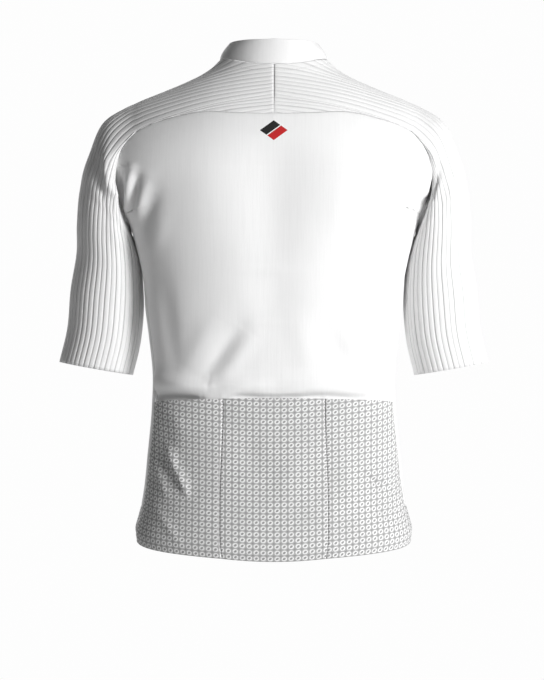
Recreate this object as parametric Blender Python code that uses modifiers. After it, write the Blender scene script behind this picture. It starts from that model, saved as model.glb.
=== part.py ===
"""A short-sleeved cycling jersey, held open as if worn: two fronts with a full zip, a back with three
pockets, ribbed saddle sleeves that run over the shoulders to the centre back, a stand collar and a hem band.

Metres, +Z up. The chest faces -Y, the back faces +Y and the wearer's left arm is at +X. The origin is the
middle of the neck opening, level with the side neck points. Every panel is a grid of points on one garment
form, given an inward wall; neighbours share their seam points and stop a hair short of them.
"""

import math

import bmesh
import bpy
import numpy as np
from mathutils import Matrix

# Driving sizes
CLOTH = 0.0011  # wall of one layer of cloth
COLLAR_CLOTH = 0.0022  # the collar is folded double
SEAM_GAP = 0.0010  # open space between two panels at a seam
LAYER_GAP = 0.0003  # open space between a panel and what lies on it
CHEST_LEVEL = -0.150  # the level where the straight body ends and the shoulder dome begins
NECK_HALF_WIDTH = 0.074
NECK_HALF_DEPTH = 0.068
NECK_RISE = 0.018  # how far the cloth climbs towards the collar
NECK_RISE_SPREAD = 0.22  # over this share of the neck's radius
FRONT_ARCH = 1.5  # power of the arch from the shoulder ridge down the chest
COLLAR_HEIGHT = 0.034
COLLAR_LEAN = 0.15  # how much narrower the collar is at its top edge
COLLAR_BOW = 1.8  # power of the lean's growth up the collar
COLLAR_DROPS = (0.012, 0.003)  # how much lower its top edge is at the sides and at the front
UNDERARM_LEVEL = -0.222
CHEST_DEPTH = 0.122  # from the middle of the body to the zip, for the angle of the fronts' edges
ZIP_HALF_WIDTH = 0.0032  # from the middle of the zip to the edge of each front
TAPE_CLOTH = 0.0010
TAPE_HALF_GAP = 0.0005
TAPE_WIDTH = 0.0120  # of one tape
NECK_BEND = 0.0010  # how much deeper the tape lies where it turns up into the collar
SLIDER = (0.0080, 0.0018, 0.0110)  # across, deep, tall
LUG = (0.0010, 0.0034, 0.0036)  # each of the two that hold the pin
LUG_GAP = 0.0032  # between the two lugs
PIN_RADIUS = 0.0007
PIN_REACH = 0.0022  # from the slider's face to the middle of the pin
PULL_EYE = (0.0010, 0.0016)  # inner and outer radius of the eye round the pin
PULL_EYE_WIDTH = 0.0024
PULL = (0.0058, 0.0012, 0.0180)  # across, deep, long
HEM_LIFT = 0.022  # how much higher the hem is at the front than at the sides
HEM_SIDE_LEVEL = -0.646
HEM_ROUNDNESS = 0.42  # below 1 the hem turns up later, closer to the side seams
POCKET_SEAM = 0.068  # the seams between pockets, from the centre back
POCKET_EASE = 0.0016  # how far an empty pocket stands off the back at its mouth

# level, half width, where it is widest, back, front, squareness of the section
TORSO = np.array([
    (-0.700, 0.205, 0.012, 0.124, -0.112, 2.35),
    (-0.646, 0.192, 0.012, 0.121, -0.112, 2.35),
    (-0.607, 0.181, 0.012, 0.113, -0.112, 2.35),
    (-0.531, 0.1715, 0.012, 0.098, -0.112, 2.35),
    (-0.468, 0.166, 0.012, 0.092, -0.113, 2.35),
    (-0.431, 0.165, 0.012, 0.094, -0.115, 2.35),
    (-0.377, 0.170, 0.013, 0.104, -0.118, 2.35),
    (-0.342, 0.1745, 0.014, 0.111, -0.119, 2.35),
    (-0.293, 0.1785, 0.016, 0.118, -0.120, 2.35),
    (-0.258, 0.1865, 0.017, 0.121, -0.120, 2.35),
    (-0.222, 0.197, 0.016, 0.122, -0.118, 2.35),
    (-0.178, 0.218, 0.012, 0.120, -0.112, 2.3),
    (CHEST_LEVEL, 0.232, 0.008, 0.118, -0.107, 2.3),
])

# the shoulder ridge, seen from the back: out from the neck's middle, level
RIDGE = np.array([
    (0.000, -0.010), (0.060, -0.014), (0.085, -0.019), (0.101, -0.024), (0.133, -0.036),
    (0.159, -0.0460), (0.187, -0.0575), (0.210, -0.070), (0.232, -0.100),
])

SIDE_SEAM_LOW = math.radians(81)  # round from the centre back, from the waist down
RIB_SHARES = dict(back=0.27, front=0.27)  # of the sleeve's ribs, those that end on each armhole seam
FOLD_FADE = 0.035  # the folds die out over this depth towards the side seam
NECK_SEAM_END = math.radians(128)  # round the neck from the centre back to the front end of the sleeve panel

# seam between the yoke and the back: out, level
YOKE_SEAM = np.array([
    (0.000, -0.080), (0.050, -0.079), (0.100, -0.0775), (0.140, -0.085), (0.167, -0.0928), (0.185, -0.101),
])
# seam between the sleeve's front edge and the chest: out, level
CHEST_SEAM = np.array([
    (NECK_HALF_WIDTH * math.sin(NECK_SEAM_END), -0.0239), (0.080, -0.0510), (0.110, -0.081),
    (0.140, -0.098), (0.165, -0.113), (0.185, -0.128),
])
# armhole seams from the shoulder down to the underarm, front and back: out, level
ARMHOLE_BACK = np.array([
    (0.185, -0.101), (0.202, -0.120), (0.209, -0.136), (0.214, -0.157), (0.214, -0.178), (0.2000, -0.209),
    (0.1970, UNDERARM_LEVEL),
])
ARMHOLE_FRONT = np.array([
    (0.185, -0.128), (0.193, -0.146), (0.197, -0.164), (0.198, -0.186), (0.196, -0.208),
    (0.1970, UNDERARM_LEVEL),
])

DELTOID = np.array([0.0080, 0.0, 0.0100])  # how the sleeve rounds out over the shoulder's outer end

# rings of the sleeve: outer edge out and level, inner edge out and level, middle, half depth, squareness
SLEEVE = np.array([
    (0.2955, -0.411, 0.1945, -0.429, -0.024, 0.052, 2.1),
    (0.2840, -0.364, 0.1840, -0.386, -0.019, 0.054, 2.1),
    (0.2790, -0.311, 0.1790, -0.340, -0.014, 0.056, 2.1),
    (0.2705, -0.262, 0.1800, -0.300, -0.009, 0.059, 2.1),
    (0.2695, -0.222, 0.1840, -0.269, -0.004, 0.061, 2.1),
    (0.2650, -0.176, 0.1900, -0.255, 0.001, 0.062, 2.1),
    (0.2520, -0.128, 0.1980, -0.237, 0.006, 0.060, 2.1),
])

# soft folds on the back: from out, level to out, level; half width; height (a trough is below zero)
FOLDS = np.array([
    (0.178, -0.130, 0.190, -0.225, 0.012, 0.005),
    (0.150, -0.160, 0.172, -0.245, 0.014, -0.004),
    (0.000, -0.438, 0.150, -0.452, 0.014, 0.005),
    (0.001, -0.105, 0.001, -0.330, 0.043, -0.003),
])
SLEEVE_CLEARANCE = 0.002  # open space kept between the sleeve and the side of the body
HALVINGS = 34  # rounds of bisection, enough for well under a thousandth of a millimetre


def smooth(at, knots, values):
    """A cubic curve through the values at the knots, which may rise or fall."""
    knots, values = np.asarray(knots, float), np.asarray(values, float)
    if knots[0] > knots[-1]:
        knots, values = knots[::-1], values[::-1]
    slopes = np.gradient(values, knots)
    at = np.clip(at, knots[0], knots[-1])
    low = np.clip(np.searchsorted(knots, at, side="right") - 1, 0, len(knots) - 2)
    step = knots[low + 1] - knots[low]
    t = (at - knots[low]) / step
    return (values[low] * (1 + 2 * t) * (1 - t) ** 2 + values[low + 1] * t * t * (3 - 2 * t)
            + step * (slopes[low] * t * (1 - t) ** 2 - slopes[low + 1] * t * t * (1 - t)))


def along(points, count):
    """The points of an open line again, count of them, evenly spaced."""
    lengths = np.r_[0, np.cumsum(np.linalg.norm(np.diff(points, axis=0), axis=1))]
    places = np.linspace(0, lengths[-1], count)
    return np.stack([np.interp(places, lengths, column) for column in points.T], axis=1)


def section(level):
    """Half width, widest place, back, front and squareness of the body at a level."""
    level = np.minimum(level, CHEST_LEVEL)
    return [smooth(level, TORSO[:, 0], TORSO[:, column]) for column in range(1, 6)]


def back_arch(out):
    """Power of the arch from the ridge down the back: full at the middle, rounder at the shoulder."""
    return np.interp(np.abs(out), (0, 0.19), (2.2, 1.75))


def neck_rise(x, y):
    """The extra height of the cloth near the neck seam."""
    away = np.hypot(x / NECK_HALF_WIDTH, y / NECK_HALF_DEPTH) - 1
    return NECK_RISE * np.exp(-np.maximum(away, -0.1) / NECK_RISE_SPREAD)


def excess(x, y, z):
    """Below zero inside the body form and above zero outside it."""
    half_width, widest, back, front, square = section(z)
    depth = np.where(y > widest, back - widest, widest - front)
    share = np.abs(x) / half_width
    body = share ** square + np.abs((y - widest) / depth) ** square - 1
    narrowing = np.maximum(1 - share ** square, 1e-9) ** (1 / square)
    height = np.maximum(smooth(np.abs(x), RIDGE[:, 0], RIDGE[:, 1]) - CHEST_LEVEL, 1e-4)
    rise = np.maximum(z - neck_rise(x, y) - CHEST_LEVEL, 0) / height
    power = np.where(y > widest, back_arch(x), FRONT_ARCH)
    dome = np.abs((y - widest) / (depth * narrowing)) ** power + rise ** power - 1
    return np.where(z > CHEST_LEVEL, np.where(share < 1, dome, 1.0), body)


def folded(points):
    """Points on the body form, moved level and outwards by the folds."""
    x, y, z = points[..., 0], points[..., 1], points[..., 2]
    widest = section(z)[1]
    away = np.stack([x, y - widest], axis=-1)
    away = away / np.maximum(np.linalg.norm(away, axis=-1, keepdims=True), 1e-9)
    height = np.zeros_like(x)
    for x0, z0, x1, z1, width, rise in FOLDS:
        for side in (1, -1):
            start, line = np.array([side * x0, z0]), np.array([side * (x1 - x0), z1 - z0])
            place = np.stack([x, z], axis=-1) - start
            t = np.clip(place @ line / (line @ line), 0, 1)
            off = np.linalg.norm(place - t[..., None] * line, axis=-1)
            fade = np.clip(4 * t * (1 - t) + 0.15, 0, 1) * np.clip((y - widest) / FOLD_FADE, 0, 1)
            height = height + rise * fade * np.exp(-(off / width) ** 2)
    moved = points.copy()
    moved[..., :2] += away * height[..., None]
    return moved


def body_point(angle, level):
    """Points on the body form, by the angle round from the centre back and the level."""
    angle, level = np.broadcast_arrays(np.asarray(angle, float), np.asarray(level, float))
    widest = section(level)[1]
    low, high = np.zeros_like(angle), np.full_like(angle, 0.30)
    for _ in range(HALVINGS):
        middle = (low + high) / 2
        inside = excess(middle * np.sin(angle), widest + middle * np.cos(angle), level) < 0
        low, high = np.where(inside, middle, low), np.where(inside, high, middle)
    return np.stack([low * np.sin(angle), widest + low * np.cos(angle), level], axis=-1)


def angle_at(out, level, back):
    """The angle round from the centre back of the point that is this far out, on the back or the chest."""
    out, level = np.broadcast_arrays(np.asarray(out, float), np.asarray(level, float))
    low, high = (0.0, math.pi / 2) if back else (math.pi, math.pi / 2)
    low, high = np.full_like(out, low), np.full_like(out, high)
    for _ in range(HALVINGS):
        middle = (low + high) / 2
        inner = body_point(middle, level)[..., 0] < out
        low, high = np.where(inner, middle, low), np.where(inner, high, middle)
    return (low + high) / 2


def dome_point(x, y):
    """The point of the shoulder dome above a place in plan."""
    x, y = np.broadcast_arrays(np.asarray(x, float), np.asarray(y, float))
    low, high = np.full_like(x, CHEST_LEVEL), np.full_like(x, 0.05)
    for _ in range(HALVINGS):
        middle = (low + high) / 2
        inside = excess(x, y, middle) < 0
        low, high = np.where(inside, middle, low), np.where(inside, high, middle)
    return np.stack([x, y, low], axis=-1)


def neck_point(turn):
    """The neck seam, by the angle round from the centre back."""
    return dome_point(NECK_HALF_WIDTH * np.sin(turn), NECK_HALF_DEPTH * np.cos(turn))


def arch_point(out, turn):
    """The shoulder dome in the upright plane at that distance out, turn 0 on the back and pi on the chest."""
    out, turn = np.broadcast_arrays(np.asarray(out, float), np.asarray(turn, float))
    half_width, widest, back, front, square = section(np.full_like(out, CHEST_LEVEL))
    narrowing = np.maximum(1 - (out / half_width) ** square, 1e-9) ** (1 / square)
    on_back = turn < math.pi / 2
    power = np.where(on_back, back_arch(out), FRONT_ARCH)
    depth = np.where(on_back, back - widest, front - widest) * narrowing
    height = smooth(out, RIDGE[:, 0], RIDGE[:, 1]) - CHEST_LEVEL
    y = widest + depth * np.abs(np.cos(turn)) ** (2 / power)
    z = CHEST_LEVEL + height * np.abs(np.sin(turn)) ** (2 / power) + neck_rise(out, y)
    return np.stack([out, y, z], axis=-1)


def turn_at(out, level, back):
    """The turn of arch_point that reaches a level, on the back or the chest."""
    low, high = (0.0, math.pi / 2) if back else (math.pi, math.pi / 2)
    low, high = np.full_like(out, low), np.full_like(out, high)
    for _ in range(HALVINGS):
        middle = (low + high) / 2
        under = arch_point(out, middle)[..., 2] < level
        low, high = np.where(under, middle, low), np.where(under, high, middle)
    return (low + high) / 2


def side_seam(level):
    """The angle of the side seam: at the side under the arm, a little to the back lower down."""
    return np.interp(level, (-0.33, UNDERARM_LEVEL), (SIDE_SEAM_LOW, math.pi / 2))


# Where the grids are cut
YOKE_OUT = np.array([0, 0.034, 0.068, 0.098, 0.122, 0.145, 0.166, YOKE_SEAM[-1, 0]])
CHEST_OUT = CHEST_SEAM[0, 0] + YOKE_OUT / YOKE_OUT[-1] * (CHEST_SEAM[-1, 0] - CHEST_SEAM[0, 0])
NECK_BACK_TURNS = np.radians([0, 20, 38, 55, 72, 90, 109]).tolist() + [NECK_SEAM_END]
ZIP_TURN = math.pi - math.asin(ZIP_HALF_WIDTH / NECK_HALF_WIDTH)
NECK_FRONT_TURNS = np.linspace(NECK_SEAM_END, ZIP_TURN, 9).tolist()
ARMHOLE_ROWS = 6
CENTRE_BACK_COLUMNS = 4
BAND_ROW = 1  # the row of the side seam where the hem band ends
POCKET_ROW = 5  # the row of the back at the pocket mouths
POCKET_COLUMN = 2  # the column of the half back on the seam between two pockets

# rows of the back below the armhole: level at the side seam, level at the centre back
SIDE_ROWS = np.array([
    (-0.646, -0.673), (-0.606, -0.634), (-0.569, -0.597), (-0.531, -0.555), (-0.495, -0.505),
    (-0.467, -0.458), (-0.450, -0.441), (-0.431, -0.421), (-0.400, -0.386), (-0.360, -0.343),
    (-0.320, -0.301), (-0.285, -0.264), (-0.252, -0.231),
])
# rows of the back beside the armhole: level at the centre back
ARMHOLE_CENTRE = np.array([-0.200, -0.176, -0.154, -0.132, -0.112, -0.095, -0.080])


def armhole(table, back):
    """The armhole seam from the underarm up to the shoulder, as body angles and levels."""
    seam = along(table[::-1], ARMHOLE_ROWS + 1)
    angle = angle_at(seam[1:, 0], seam[1:, 1], back)
    return np.r_[math.pi / 2, angle], seam[:, 1]


def set_back(rows, edges):
    """A grid of points with its named edges drawn in by half a seam gap: low, high, left, right."""
    grid = rows.copy()
    for edge, (end, neighbour, axis) in {
        "low": (0, 1, 0), "high": (-1, -2, 0), "left": (0, 1, 1), "right": (-1, -2, 1),
    }.items():
        if edge in edges:
            lines = np.moveaxis(grid, axis, 0)
            across = lines[neighbour] - lines[end]
            length = np.maximum(np.linalg.norm(across, axis=-1, keepdims=True), 1e-9)
            lines[end] = lines[end] + across / length * SEAM_GAP / 2
    return grid


def normals_of(grid):
    """Unit normals of a grid whose columns run round from the back towards the left arm and rows run up."""
    up, round_ = np.gradient(grid, axis=0), np.gradient(grid, axis=1)
    normal = np.cross(up, round_)
    return normal / np.maximum(np.linalg.norm(normal, axis=-1, keepdims=True), 1e-12)


def back_grid():
    """The whole back from the hem to the yoke seam; the middle column is the centre back."""
    angle_edge, level_edge = armhole(ARMHOLE_BACK, True)
    side = np.r_[SIDE_ROWS[:, 0], level_edge][:, None]
    centre = np.r_[SIDE_ROWS[:, 1], ARMHOLE_CENTRE][:, None]
    angle_edge = np.r_[side_seam(SIDE_ROWS[:, 0]), angle_edge]
    seam_level = smooth(YOKE_OUT, YOKE_SEAM[:, 0], YOKE_SEAM[:, 1])
    share = angle_at(YOKE_OUT, seam_level, True)
    share = share / share[-1]
    rise = (side - side[0]) / (side[-1] - side[0])
    hem_shape = np.cos(share * math.pi / 2) ** HEM_ROUNDNESS
    seam_shape = (seam_level - seam_level[-1]) / (seam_level[0] - seam_level[-1])
    shape = hem_shape + rise ** 2 * (seam_shape - hem_shape)
    level = side + (centre - side) * shape
    level[-1] = seam_level
    pocket_share = angle_at(POCKET_SEAM, side[:, 0], True) / angle_edge
    held = np.interp(side[:, 0], (-0.40, -0.25), (1, 0))
    held = share[POCKET_COLUMN] + held * (pocket_share - share[POCKET_COLUMN])
    angle = np.stack([np.interp(share, (0, share[POCKET_COLUMN], 1), (0, at, 1)) for at in held])
    half = body_point(angle * angle_edge[:, None], level)
    half[-1] = arch_point(YOKE_OUT, turn_at(YOKE_OUT, seam_level, True))
    half = folded(half)
    other = half[:, :0:-1] * (-1, 1, 1)
    return np.concatenate([other, half], axis=1)


def front_grid():
    """The left front and its hem band: column 0 at the zip, the last one up the side and the sleeve seam."""
    angle_edge, level_edge = armhole(ARMHOLE_FRONT, False)
    chest_level = smooth(CHEST_OUT[-2::-1], CHEST_SEAM[:, 0], CHEST_SEAM[:, 1])
    chest = arch_point(CHEST_OUT[-2::-1], turn_at(CHEST_OUT[-2::-1], chest_level, False))
    chest[-1] = neck_point(NECK_SEAM_END)
    chest_angle = np.arctan2(chest[:, 0], chest[:, 1] - section(chest[:, 2])[1])
    level_edge = np.r_[SIDE_ROWS[:, 0], level_edge, chest[:, 2]]
    angle_edge = np.r_[side_seam(SIDE_ROWS[:, 0]), angle_edge, chest_angle]
    top = neck_point(np.array(NECK_FRONT_TURNS[::-1]))
    zip_level = np.interp(
        level_edge,
        (HEM_SIDE_LEVEL, UNDERARM_LEVEL, CHEST_SEAM[-1, 1], top[-1, 2]),
        (HEM_SIDE_LEVEL + HEM_LIFT, UNDERARM_LEVEL + 0.010, CHEST_SEAM[-1, 1], top[0, 2]),
    )
    share = np.linspace(0, 1, len(top))
    zip_angle = math.pi - math.asin(ZIP_HALF_WIDTH / CHEST_DEPTH)
    angle = zip_angle - share * (zip_angle - angle_edge[:, None])
    level = zip_level[:, None] + np.sin(share * math.pi / 2) ** 2 * (level_edge - zip_level)[:, None]
    grid = body_point(angle, level)
    grid[-len(chest):, -1] = chest
    grid[-1] = top
    grid[:, 0, 0] = ZIP_HALF_WIDTH
    return folded(grid)


def collar_grid():
    """The stand collar from its seam up, from the right front round the back to the left front."""
    turns = np.array(NECK_BACK_TURNS + NECK_FRONT_TURNS[1:])
    turns = np.r_[-turns[:0:-1], turns]
    base = neck_point(np.abs(turns))
    base[:, 0] *= np.sign(turns + 1e-9)
    to_front = (1 - np.cos(turns)) / 2
    height = COLLAR_HEIGHT - COLLAR_DROPS[0] * np.sin(turns) ** 2 - COLLAR_DROPS[1] * to_front
    rows = []
    for t in (0, 0.3, 0.6, 0.85, 1):
        row = base.copy()
        lean = COLLAR_LEAN * t ** COLLAR_BOW
        row[:, 0] *= 1 - lean
        row[:, 1] *= 1 - lean * np.where(to_front > 0.5, 0.15, 0.5)
        row[:, 2] += SEAM_GAP + height * t
        rows.append(row)
    grid = np.stack(rows)
    grid[:, 0, 0], grid[:, -1, 0] = -ZIP_HALF_WIDTH, ZIP_HALF_WIDTH
    return grid


def rib_columns():
    """Shares round the sleeve from the underarm over the back, the shoulder and the chest to it again."""
    back, front = RIB_SHARES["back"], 1 - RIB_SHARES["front"]
    neck = neck_point(np.array(NECK_BACK_TURNS))
    strip_share = saddle_share(neck)
    saddle = back + (front - back) * strip_share
    return np.concatenate([
        np.linspace(0, back, ARMHOLE_ROWS + 1)[:-1],
        np.linspace(back, saddle[0], CENTRE_BACK_COLUMNS + 1)[:-1],
        saddle,
        np.linspace(front, 1, ARMHOLE_ROWS + 1)[1:],
    ])


def saddle_edges(out):
    """The turns of the yoke seam and of the chest seam at a distance out."""
    back = turn_at(out, smooth(out, YOKE_SEAM[:, 0], YOKE_SEAM[:, 1]), True)
    front = turn_at(out, smooth(out, CHEST_SEAM[:, 0], CHEST_SEAM[:, 1]), False)
    return back, front


def saddle_share(points):
    """How far each point of the dome lies from the yoke seam (0) to the chest seam (1)."""
    half_width, widest, back, front, square = section(np.full(len(points), CHEST_LEVEL))
    out, y = points[:, 0], points[:, 1]
    narrowing = (1 - (out / half_width) ** square) ** (1 / square)
    on_back = y > widest
    power = np.where(on_back, back_arch(out), FRONT_ARCH)
    depth = np.where(on_back, back - widest, widest - front) * narrowing
    cosine = np.clip(np.abs((y - widest) / depth), 0, 1) ** (power / 2)
    turn = np.where(on_back, np.arccos(cosine), math.pi - np.arccos(cosine))
    low, high = saddle_edges(out)
    share = np.clip((turn - low) / (high - low), 0, 1)
    share[-1] = 1
    return share


def saddle_point(out, share):
    """A point of the shoulder between the yoke seam and the chest seam."""
    low, high = saddle_edges(out)
    return arch_point(out, low + (high - low) * share)


def shoulder_line(share):
    """How far out the saddle ends and the sleeve proper begins: further over the top than at the seams."""
    return YOKE_SEAM[-1, 0] + 0.014 * np.sin(math.pi * share)


def saddle_grid(columns):
    """The sleeve panel on the shoulder, from the sleeve (row 0) to the centre back or the neck."""
    back, front = RIB_SHARES["back"], 1 - RIB_SHARES["front"]
    share = (columns - back) / (front - back)
    neck = neck_point(np.array(NECK_BACK_TURNS))
    end_out = np.r_[np.zeros(CENTRE_BACK_COLUMNS), neck[:, 0]]
    start_out = shoulder_line(share)
    step = 1 - YOKE_OUT[::-1] / YOKE_OUT[-1]
    out = start_out + step[:, None] * (end_out - start_out)
    grid = saddle_point(out, np.broadcast_to(share, out.shape))
    grid[-1, CENTRE_BACK_COLUMNS:] = neck
    return folded(grid)


def ring_point(row, share):
    """A ring of the sleeve, share 0 at its inner edge, then round by the back."""
    outer, inner = np.array([row[0], row[4], row[1]]), np.array([row[2], row[4], row[3]])
    angle = 2 * math.pi * share
    lobe = (np.abs(np.cos(angle)) ** row[6] + np.abs(np.sin(angle)) ** row[6]) ** (-1 / row[6])
    across, deep = (inner - outer) / 2, np.array([0, row[5], 0])
    middle = (outer + inner) / 2
    return middle + (lobe * np.cos(angle))[:, None] * across + (lobe * np.sin(angle))[:, None] * deep


def clear_of_body(points, clearance):
    """Points of the sleeve pushed straight out sideways until they clear the body form."""
    moved = points.copy()
    for _ in range(12):
        value = excess(moved[..., 0] - clearance, moved[..., 1], moved[..., 2])
        moved[..., 0] += np.where(value < 0, np.clip(-value * 0.09, 0, 0.02), 0)
    return moved


def sleeve_grid(columns, saddle):
    """The sleeve from the armhole (row 0) to the cuff."""
    angle_back, level_back = armhole(ARMHOLE_BACK, True)
    angle_front, level_front = armhole(ARMHOLE_FRONT, False)
    back = folded(body_point(angle_back, level_back))
    front = folded(body_point(angle_front, level_front))
    top = np.concatenate([back[:-1], saddle[0], front[-2::-1]])
    rings = [ring_point(row, columns) for row in SLEEVE[::-1]]
    rings = [top] + rings
    knots = np.array(range(len(rings)), float)
    stops = np.array([0, 0.5, 1, 1.5, 2, 2.6, 3.2, 4, 5, 6, 7])
    stack = np.stack(rings)
    lines = [[smooth(stops, knots, stack[:, c, axis]) for axis in range(3)] for c in range(stack.shape[1])]
    grid = np.moveaxis(np.stack(lines), (0, 1, 2), (1, 2, 0))
    over = np.sin(math.pi * columns)[:, None]
    grid[1] = (grid[0] + grid[2]) / 2 + over * DELTOID
    near_seam = np.clip(stops / 2, 0, 1)[:, None]
    grid[1:] = clear_of_body(grid, (CLOTH + SLEEVE_CLEARANCE) * near_seam)[1:]
    return grid


def tape_grid(front, collar):
    """The left zip tape: inside the front's and the collar's edges, from the hem to the top."""
    strips = []
    for panel in (front, collar[:, ::-1]):
        edge, next_ = panel[:, :1], panel[:, 1:2]
        across = (next_ - edge) / np.abs(next_ - edge)[..., :1]
        reach = np.array([TAPE_HALF_GAP, ZIP_HALF_WIDTH, TAPE_WIDTH]) - ZIP_HALF_WIDTH
        strips.append(edge + across * reach[:, None])
    low, high = strips
    strip = np.concatenate([low[:-1], (low[-1:] + high[:1]) / 2, high[1:]])
    depth = np.full(len(strip), COLLAR_CLOTH)
    depth[:len(low) - 1] = CLOTH
    depth[len(low) - 1] = COLLAR_CLOTH + NECK_BEND
    return strip + normals_of(strip) * (depth + LAYER_GAP)[:, None, None]


def box(name, size, middle, colour, roughness, metallic):
    """A block with its own finish."""
    shape = bmesh.new()
    bmesh.ops.create_cube(shape, size=1)
    bmesh.ops.scale(shape, vec=size, verts=shape.verts)
    bmesh.ops.translate(shape, vec=middle, verts=shape.verts)
    return solid(name, shape, colour, roughness, metallic)


def rod(name, radius, length, middle, colour, roughness, metallic):
    """A round bar along X."""
    shape = bmesh.new()
    bmesh.ops.create_cone(shape, cap_ends=True, segments=24, radius1=radius, radius2=radius, depth=length)
    bmesh.ops.rotate(shape, cent=(0, 0, 0), matrix=Matrix.Rotation(math.pi / 2, 3, "Y"), verts=shape.verts)
    bmesh.ops.translate(shape, vec=middle, verts=shape.verts)
    return solid(name, shape, colour, roughness, metallic)


def solid(name, shape, colour, roughness, metallic):
    """An object from a finished closed shape."""
    mesh = bpy.data.meshes.new(name)
    shape.to_mesh(mesh)
    shape.free()
    body = bpy.data.objects.new(name, mesh)
    PARTS.objects.link(body)
    mesh.materials.append(material(name, colour, roughness, metallic))
    return body


def combine(body, tool, operation):
    """Join a hidden helper to a body, or cut it away."""
    tool.hide_render = True
    tool.display_type = "WIRE"
    step = body.modifiers.new(tool.name, "BOOLEAN")
    step.object = tool
    step.operation = operation
    step.solver = "EXACT"


def slider_and_pull(face, top):
    """The slider in front of the collar's ends, and the pull that hangs on its pin."""
    across, deep, tall = SLIDER
    middle = top - 0.002 - tall / 2
    pin = (0, face - deep - PIN_REACH, middle)
    slider = box("zip_slider", SLIDER, (0, face - deep / 2, middle), METAL, 0.35, 1.0)
    for side in (1, -1):
        lug_at = (side * (LUG_GAP + LUG[0]) / 2, face - deep - LUG[1] / 2 + 0.0002, middle)
        combine(slider, box(f"lug_{side}", LUG, lug_at, METAL, 0.35, 1.0), "UNION")
    combine(slider, rod("pin", PIN_RADIUS, LUG_GAP + LUG[0], pin, METAL, 0.35, 1.0), "UNION")
    pull = rod("zip_pull", PULL_EYE[1], PULL_EYE_WIDTH, pin, METAL, 0.35, 1.0)
    neck_at = (0, pin[1], middle - 0.0032)
    combine(pull, box("pull_neck", (PULL_EYE_WIDTH, PULL[1], 0.0040), neck_at, METAL, 0.35, 1.0), "UNION")
    tab_at = (0, pin[1], middle - 0.0045 - PULL[2] / 2)
    combine(pull, box("pull_tab", PULL, tab_at, METAL, 0.35, 1.0), "UNION")
    combine(pull, rod("pull_hole", PULL_EYE[0], 0.02, pin, METAL, 0.35, 1.0), "DIFFERENCE")


def mesh_of(name, grids, wall, colour, roughness, mirrored=False):
    """One panel from grids that share their edge points: each quad is split along its shorter diagonal."""
    shape = bmesh.new()
    for grid in grids:
        points = grid * (-1, 1, 1) if mirrored else grid
        rows, columns = points.shape[:2]
        made = [[shape.verts.new(points[r, c]) for c in range(columns)] for r in range(rows)]
        for r in range(rows - 1):
            for c in range(columns - 1):
                corners = [made[r][c], made[r][c + 1], made[r + 1][c + 1], made[r + 1][c]]
                corners = corners if mirrored else corners[::-1]
                if (corners[0].co - corners[2].co).length > (corners[1].co - corners[3].co).length:
                    corners = corners[1:] + corners[:1]
                shape.faces.new(corners[:3])
                shape.faces.new(corners[2:] + corners[:1])
    bmesh.ops.remove_doubles(shape, verts=shape.verts, dist=0.00005)
    mesh = bpy.data.meshes.new(name)
    shape.to_mesh(mesh)
    shape.free()
    panel = bpy.data.objects.new(name, mesh)
    PARTS.objects.link(panel)
    thick = panel.modifiers.new("wall", "SOLIDIFY")
    thick.thickness = wall
    thick.offset = -1
    thick.use_even_offset = True
    mesh.materials.append(material(name, colour, roughness))
    mesh.shade_smooth()
    return panel


def material(name, colour, roughness, metallic=0.0):
    """A plain finish for one part."""
    finish = bpy.data.materials.new(name)
    finish.use_nodes = True
    shader = finish.node_tree.nodes["Principled BSDF"]
    shader.inputs["Base Color"].default_value = (*colour, 1)
    shader.inputs["Roughness"].default_value = roughness
    shader.inputs["Metallic"].default_value = metallic
    return finish


for thing in list(bpy.data.objects):
    bpy.data.objects.remove(thing)
PARTS = bpy.data.collections.new("cycling_jersey")
bpy.context.scene.collection.children.link(PARTS)

WHITE = (0.86, 0.86, 0.87)
GREY = (0.55, 0.55, 0.56)
METAL = (0.72, 0.72, 0.74)

back = back_grid()
mesh_of("back_panel", [set_back(back, ("high", "left", "right"))], CLOTH, WHITE, 0.8)
front = front_grid()
for side, mirrored in (("left", False), ("right", True)):
    panel = set_back(front[BAND_ROW:], ("low", "high", "right"))
    mesh_of(f"front_{side}", [panel[:, ::-1]], CLOTH, WHITE, 0.8, mirrored)
    band = set_back(front[:BAND_ROW + 1], ("high", "right"))
    mesh_of(f"hem_band_{side}", [band[:, ::-1]], CLOTH, GREY, 0.8, mirrored)

columns = rib_columns()
first, last = ARMHOLE_ROWS, len(columns) - ARMHOLE_ROWS
saddle = saddle_grid(columns[first:last])
sleeve = sleeve_grid(columns, saddle)
saddle = set_back(saddle, ("left", "right", "high"))
sleeve[0] = set_back(sleeve, ("low",))[0]
sleeve[0, first:last] = saddle[0]
for side, mirrored in (("left", False), ("right", True)):
    mesh_of(f"sleeve_{side}", [sleeve[::-1], saddle], CLOTH, WHITE, 0.8, mirrored)

collar = collar_grid()
mesh_of("collar", [collar], COLLAR_CLOTH, WHITE, 0.8)
tape = tape_grid(front, collar)
for side, mirrored in (("left", False), ("right", True)):
    mesh_of(f"zip_tape_{side}", [tape[:, ::-1]], TAPE_CLOTH, WHITE, 0.8, mirrored)
slider_and_pull(collar[:, -1, 1].min() - 0.0005, collar[-1, -1, 2])

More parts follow.
